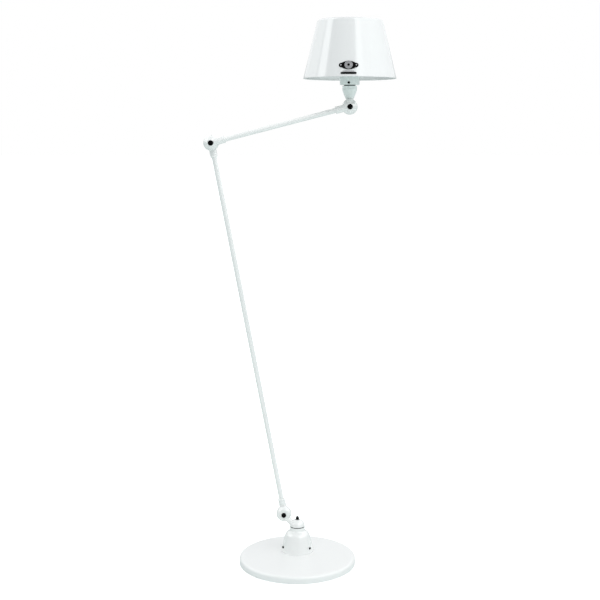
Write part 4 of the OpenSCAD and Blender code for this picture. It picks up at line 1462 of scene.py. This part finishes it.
@dataclass
class Badge:
    """The plain badge on the shade's front: plate, disc, rivets, strip and bar, all blank."""

    shade: Shade
    turn: float = 4.0
    gap: float = 0.05 * MM
    plate_t: float = 0.9 * MM
    rim_t: float = 1.15 * MM
    rim_w: float = 0.8 * MM
    half_w: float = 19 * MM
    half_h: float = 8.2 * MM
    ear_r: float = 4.2 * MM
    rivet_x: float = 15 * MM

    def skin(self, name: str, low: float, high: float, thick: float,
             lift: float = 0.0) -> bpy.types.Object:
        """Models a thin cone that lies on the shade.

        Args:
            name: The object's name.
            low: Its foot, above the shade's rim.
            high: Its top, above the shade's rim.
            thick: Its thickness.
            lift: How far it floats above its usual place.

        Returns:
            The cone, in its place.
        """
        shade, gap = self.shade, self.gap + lift
        points = [(shade.radius(low) + gap, shade.low + low),
                  (shade.radius(low) + gap + thick, shade.low + low),
                  (shade.radius(high) + gap + thick, shade.low + high),
                  (shade.radius(high) + gap, shade.low + high)]
        skin = Bench.turned(name, points, closed=True, steps=360)
        Bench.place(skin, shade.foot)
        return skin

    def cutter(self, radius: float, x: float, up: float) -> bpy.types.Object:
        """Models a long cylinder that points out through the shade's front."""
        length = 2 * self.shade.low_r
        rod = Bench.turned("cutter", [(0, 0), (radius, 0), (radius, length), (0, length)], steps=128)
        Bench.place(rod, Vector((x, 0, up)), FRONT)
        return rod

    def aim(self, tool: bpy.types.Object) -> bpy.types.Object:
        """Turns a cutter with the shade and moves it to the shade's axis."""
        Bench.place(tool, self.shade.foot + UP * self.shade.low, UP, -math.radians(self.turn))
        return tool

    def lens(self, half_w: float, half_h: float, up: float, end_r: float,
             end_x: float) -> bpy.types.Object:
        """Models a cutter with a lens outline and round ends."""
        r = (half_w ** 2 + half_h ** 2) / (2 * half_h)
        lens = self.cutter(r, 0, up + r - half_h)
        Bench.combine(lens, self.cutter(r, 0, up + half_h - r), "INTERSECT")
        for side in (-1, 1):
            Bench.combine(lens, self.cutter(end_r, side * end_x, up), "UNION")
        return self.aim(lens)

    def bar_cutter(self, width: float, height: float, up: float) -> bpy.types.Object:
        """Models a cutter for a bar with round ends."""
        half = (width - height) / 2
        length = 2 * self.shade.low_r
        bar = Bench.block("bar", Vector((-half, -length, up - height / 2)),
                          Vector((half, 0, up + height / 2)))
        for side in (-1, 1):
            Bench.combine(bar, self.cutter(height / 2, side * half, up), "UNION")
        return self.aim(bar)

    def on_shade(self, obj: bpy.types.Object, x: float, up: float, off: float) -> None:
        """Puts an object on the shade's front, standing off it.

        Args:
            obj: The object, standing on the origin.
            x: Its place to the right of the badge's middle.
            up: Its height above the shade's rim.
            off: How far it stands off the shade.
        """
        shade = self.shade
        r = shade.radius(up)
        angle = math.radians(-90 - self.turn) + math.asin(x / r)
        out = Vector((math.cos(angle), math.sin(angle), 0))
        normal = out * math.cos(shade.tilt) + UP * math.sin(shade.tilt)
        Bench.place(obj, shade.foot + out * r + UP * (shade.low + up) + normal * off, normal)

    def build(self) -> None:
        """Builds the badge's pieces."""
        up = 22.3 * MM
        self.plate(up)
        self.medallion(up)
        self.rivets(up)
        self.strip(10.4 * MM)
        bar = self.skin("badge_black_bar", 3 * MM, 11 * MM, 0.8 * MM)
        Bench.combine(bar, self.bar_cutter(31.6 * MM, 3.8 * MM, 6.9 * MM), "INTERSECT")
        Bench.soften(bar, 0.15 * MM)
        Dress("head", ("badge_bar",), BADGE_BLACK).put_on(bar)

    def strip(self, up: float) -> None:
        """Models the small metal strip, with a row of plain upright grooves."""
        strip = self.skin("badge_blank_strip", up - 4 * MM, up + 4 * MM, 0.8 * MM)
        Bench.combine(strip, self.bar_cutter(24 * MM, 2.4 * MM, up), "INTERSECT")
        Bench.soften(strip, 0.12 * MM)
        step, count, reach = 1.25 * MM, 17, 2 * self.shade.low_r
        first = -step * (count - 1) / 2
        groove = Bench.block("groove", Vector((first - 0.3 * MM, -reach, up - 0.75 * MM)),
                             Vector((first + 0.3 * MM, 0, up + 0.75 * MM)))
        Bench.apply(groove, "ARRAY", count=count, use_relative_offset=False,
                    use_constant_offset=True, constant_offset_displace=(step, 0, 0))
        depth = self.skin("groove_depth", up - 4 * MM, up + 4 * MM, 2 * MM, lift=0.4 * MM)
        Bench.combine(depth, self.aim(groove), "INTERSECT")
        Bench.combine(strip, depth, "DIFFERENCE")
        Dress("head", ("badge_strip",), BADGE_METAL).put_on(strip)

    def plate(self, up: float) -> None:
        """Models the black plate with its low raised rim."""
        rim = self.rim_w
        plate = self.skin("badge_backing_plate", up - 10 * MM, up + 10 * MM, self.rim_t)
        Bench.combine(plate, self.lens(self.half_w, self.half_h, up, self.ear_r, self.rivet_x),
                      "INTERSECT")
        Bench.soften(plate, 0.15 * MM)
        field = self.skin("badge_field", up - 10 * MM, up + 10 * MM, 2 * MM, lift=self.plate_t)
        Bench.combine(field, self.lens(self.half_w - rim, self.half_h - rim, up,
                                       self.ear_r - rim, self.rivet_x), "INTERSECT")
        Bench.combine(plate, field, "DIFFERENCE")
        Dress("head", ("badge_plate",), BADGE_BLACK).put_on(plate)

    def medallion(self, up: float) -> None:
        """Models the blank metal disc with two turned steps and a dark centre."""
        r, t = 8.15 * MM, 1.5 * MM
        outline = rounded([
            Corner(0, 0), Corner(r, 0, 0.1 * MM), Corner(r, t, 0.35 * MM),
            Corner(r - 1.3 * MM, t, 0.25 * MM), Corner(r - 1.7 * MM, t - 0.5 * MM, 0.15 * MM),
            Corner(0.55 * r, t - 0.5 * MM, 0.1 * MM), Corner(0.5 * r, t - 0.2 * MM, 0.15 * MM),
            Corner(2.6 * MM, t - 0.2 * MM, 0.1 * MM), Corner(2.4 * MM, t + 0.1 * MM, 0.15 * MM),
            Corner(0, t + 0.15 * MM)], steps=4)
        disc = Bench.turned("badge_blank_disc", outline, steps=96)
        disc.data.materials.append(self.turned_metal(up).material())
        disc.data.materials.append(BADGE_BLACK.material())
        for face in disc.data.polygons:
            out = Vector((face.center.x, face.center.y)).length
            face.material_index = int(out < 2.45 * MM and face.center.z > 0.5 * t)
        self.on_shade(disc, 0, up, self.gap + self.plate_t + 0.1 * MM)
        Dress("head", ("badge_medallion",), BADGE_METAL).put_on(disc)

    def turned_metal(self, up: float) -> TurnedFinish:
        """Returns the finish of turned rings, centred on the disc."""
        shade = self.shade
        angle = math.radians(-90 - self.turn)
        out = Vector((math.cos(angle), math.sin(angle), 0))
        centre = shade.foot + out * shade.radius(up) + UP * (shade.low + up)
        return TurnedFinish("badge_turned_metal", "badge_metal", (0.5, 0.5, 0.51),
                            (0.3, 0.3, 0.31), (0.22, 0.34), 90.0, relief=0.05, metallic=1.0,
                            ior=2.5, centre=tuple(centre), tilt=math.pi / 2 - shade.tilt)

    def rivets(self, up: float) -> None:
        """Models one rivet head and copies it to the plate's other end."""
        r = 1.5 * MM
        outline = [(0, 0), (r, 0), (r, 0.25 * MM)]
        outline += pulled((r, 0.25 * MM), (0.85 * r, 1.0 * MM), (0.2 * r, 1.05 * MM), 7)
        outline += [(0, 1.05 * MM)]
        left = Bench.turned("badge_rivet_left", outline, steps=40)
        right = Bench.copy(left, "badge_rivet_right")
        for rivet, side in ((left, -1), (right, 1)):
            self.on_shade(rivet, side * self.rivet_x, up, self.gap + self.plate_t)
            Dress("head", ("badge_rivets",), BADGE_METAL).put_on(rivet)


# ---------------------------------------------------------------- studio


@dataclass(frozen=True)
class Softbox:
    """A studio softbox: an area light with a given brightness."""

    name: str
    size: tuple[float, float]
    brightness: float
    diffuse: bool = True
    glossy: bool = True

    def add(self, place: Vector, target: Vector) -> None:
        """Adds the light at a place, aimed at a target."""
        data = bpy.data.lights.new(self.name, "AREA")
        data.shape = "RECTANGLE"
        data.size, data.size_y = self.size
        data.energy = self.brightness * math.pi * self.size[0] * self.size[1]
        light = bpy.data.objects.new(self.name, data)
        bpy.context.scene.collection.objects.link(light)
        light.location = place
        light.rotation_euler = (target - place).to_track_quat("-Z", "Y").to_euler()
        light.visible_camera = False
        light.visible_diffuse = self.diffuse
        light.visible_glossy = self.glossy


@dataclass(frozen=True)
class Reflector:
    """An upright white panel round the lamp, which only shows as a reflection in gloss."""

    name: str
    start: float
    end: float
    brightness: float
    low: float = 10.0
    high: float = 62.0
    distance: float = 5.0

    def build(self, centre: Vector) -> None:
        """Adds the panel between two azimuths, in degrees to the right of the front."""
        ends = [Vector((math.sin(math.radians(a)), -math.cos(math.radians(a)), 0))
                * self.distance for a in (self.start, self.end)]
        middle = (ends[0] + ends[1]) / 2
        low, high = (middle.length * math.tan(math.radians(a)) for a in (self.low, self.high))
        lift = UP * (low + high) / 2
        box = Softbox(self.name, ((ends[1] - ends[0]).length, high - low), self.brightness,
                      diffuse=False)
        box.add(centre + middle + lift, centre + lift)


@dataclass
class Studio:
    """The pale floor, the lights and the camera."""

    camera_place: tuple[float, float, float] = (0.0056, -2.2944, 0.9037)
    camera_drop: float = 8.468
    lens: float = 67.87
    floor_half: float = 40.0
    centre: Vector = field(default_factory=lambda: Vector((0.05, 0.0, 0.9)))
    surround: tuple[float, float, float] = (0.965, 0.985, 1.0)
    surround_strength: float = 0.72
    floor_tone: tuple[float, float, float] = (0.74, 0.80, 0.79)
    floor_lift: float = 0.75

    def build(self) -> None:
        """Builds the studio."""
        self.floor()
        self.world()
        self.lights()
        self.camera()
        bpy.context.scene.view_settings.view_transform = "Standard"

    def lights(self) -> None:
        """Adds a large box above, one at the right, and the panels that gloss reflects."""
        Softbox("overhead", (3.0, 2.6), 1.4, glossy=False).add(
            Vector((0.2, -1.2, 3.0)), Vector((0.0, 0.0, 0.3)))
        Softbox("right_key", (2.6, 2.6), 0.75, glossy=False).add(
            Vector((3.0, -1.0, 1.6)), Vector((0.1, 0.0, 0.9)))
        for panel in (
                Reflector("right_front", 16, 36, 0.62), Reflector("right_main", 36, 110, 0.46),
                Reflector("right_rear", 110, 178, 0.4), Reflector("left_strip", -94, -69, 0.72),
                Reflector("left_rear", -170, -98, 0.5)):
            panel.build(self.centre)

    def floor(self) -> None:
        """Adds the pale floor, lifted so that it melts into the backdrop."""
        Bench.clear()
        bpy.ops.mesh.primitive_plane_add(size=2 * self.floor_half, location=(0, 0, 0))
        floor = bpy.context.object
        floor.name = "studio_floor"
        paper = bpy.data.materials.new("studio_paper")
        paper.use_nodes = True
        tree = paper.node_tree
        tree.nodes.clear()
        out = tree.nodes.new("ShaderNodeOutputMaterial")
        matt, glow = tree.nodes.new("ShaderNodeBsdfDiffuse"), tree.nodes.new("ShaderNodeEmission")
        both, mix = tree.nodes.new("ShaderNodeAddShader"), tree.nodes.new("ShaderNodeMixShader")
        path = tree.nodes.new("ShaderNodeLightPath")
        matt.inputs["Color"].default_value = (*self.floor_tone, 1)
        glow.inputs["Strength"].default_value = self.floor_lift
        for source, socket in (
                (matt.outputs[0], both.inputs[0]), (glow.outputs[0], both.inputs[1]),
                (path.outputs["Is Camera Ray"], mix.inputs[0]), (matt.outputs[0], mix.inputs[1]),
                (both.outputs[0], mix.inputs[2]), (mix.outputs[0], out.inputs["Surface"])):
            tree.links.new(source, socket)
        floor.data.materials.append(paper)

    def world(self) -> None:
        """Sets a white backdrop, and a dimmer, slightly cool surround for the light."""
        world = bpy.data.worlds.new("studio")
        world.use_nodes = True
        bpy.context.scene.world = world
        tree = world.node_tree
        tree.nodes.clear()
        out = tree.nodes.new("ShaderNodeOutputWorld")
        seen, lit = tree.nodes.new("ShaderNodeBackground"), tree.nodes.new("ShaderNodeBackground")
        seen.inputs["Color"].default_value = (1, 1, 1, 1)
        lit.inputs["Color"].default_value = (*self.surround, 1)
        lit.inputs["Strength"].default_value = self.surround_strength
        mix, path = tree.nodes.new("ShaderNodeMixShader"), tree.nodes.new("ShaderNodeLightPath")
        tree.links.new(path.outputs["Is Camera Ray"], mix.inputs[0])
        tree.links.new(lit.outputs[0], mix.inputs[1])
        tree.links.new(seen.outputs[0], mix.inputs[2])
        tree.links.new(mix.outputs[0], out.inputs["Surface"])

    def camera(self) -> None:
        """Adds the camera at the viewing angle."""
        data = bpy.data.cameras.new("camera")
        data.lens = self.lens
        data.sensor_width = 36.0
        camera = bpy.data.objects.new("camera", data)
        bpy.context.scene.collection.objects.link(camera)
        camera.location = self.camera_place
        camera.rotation_euler = (math.radians(90 - self.camera_drop), 0, 0)
        bpy.context.scene.camera = camera


def main() -> None:
    """Builds the lamp's looks, piece by piece, and the studio around it."""
    logging.basicConfig(level=logging.INFO, format="%(name)s: %(message)s")
    bpy.context.preferences.edit.use_global_undo = False
    dress_cad_nodes()
    shade = Shade()
    for part in (Base(), Pedestal(), SwivelJoint(), Link(), Arms(), Head(), Lampholder(), shade,
                 Badge(shade), Studio()):
        LOG.info("building %s", type(part).__name__)
        part.build()


if __name__ == "__main__":
    main()
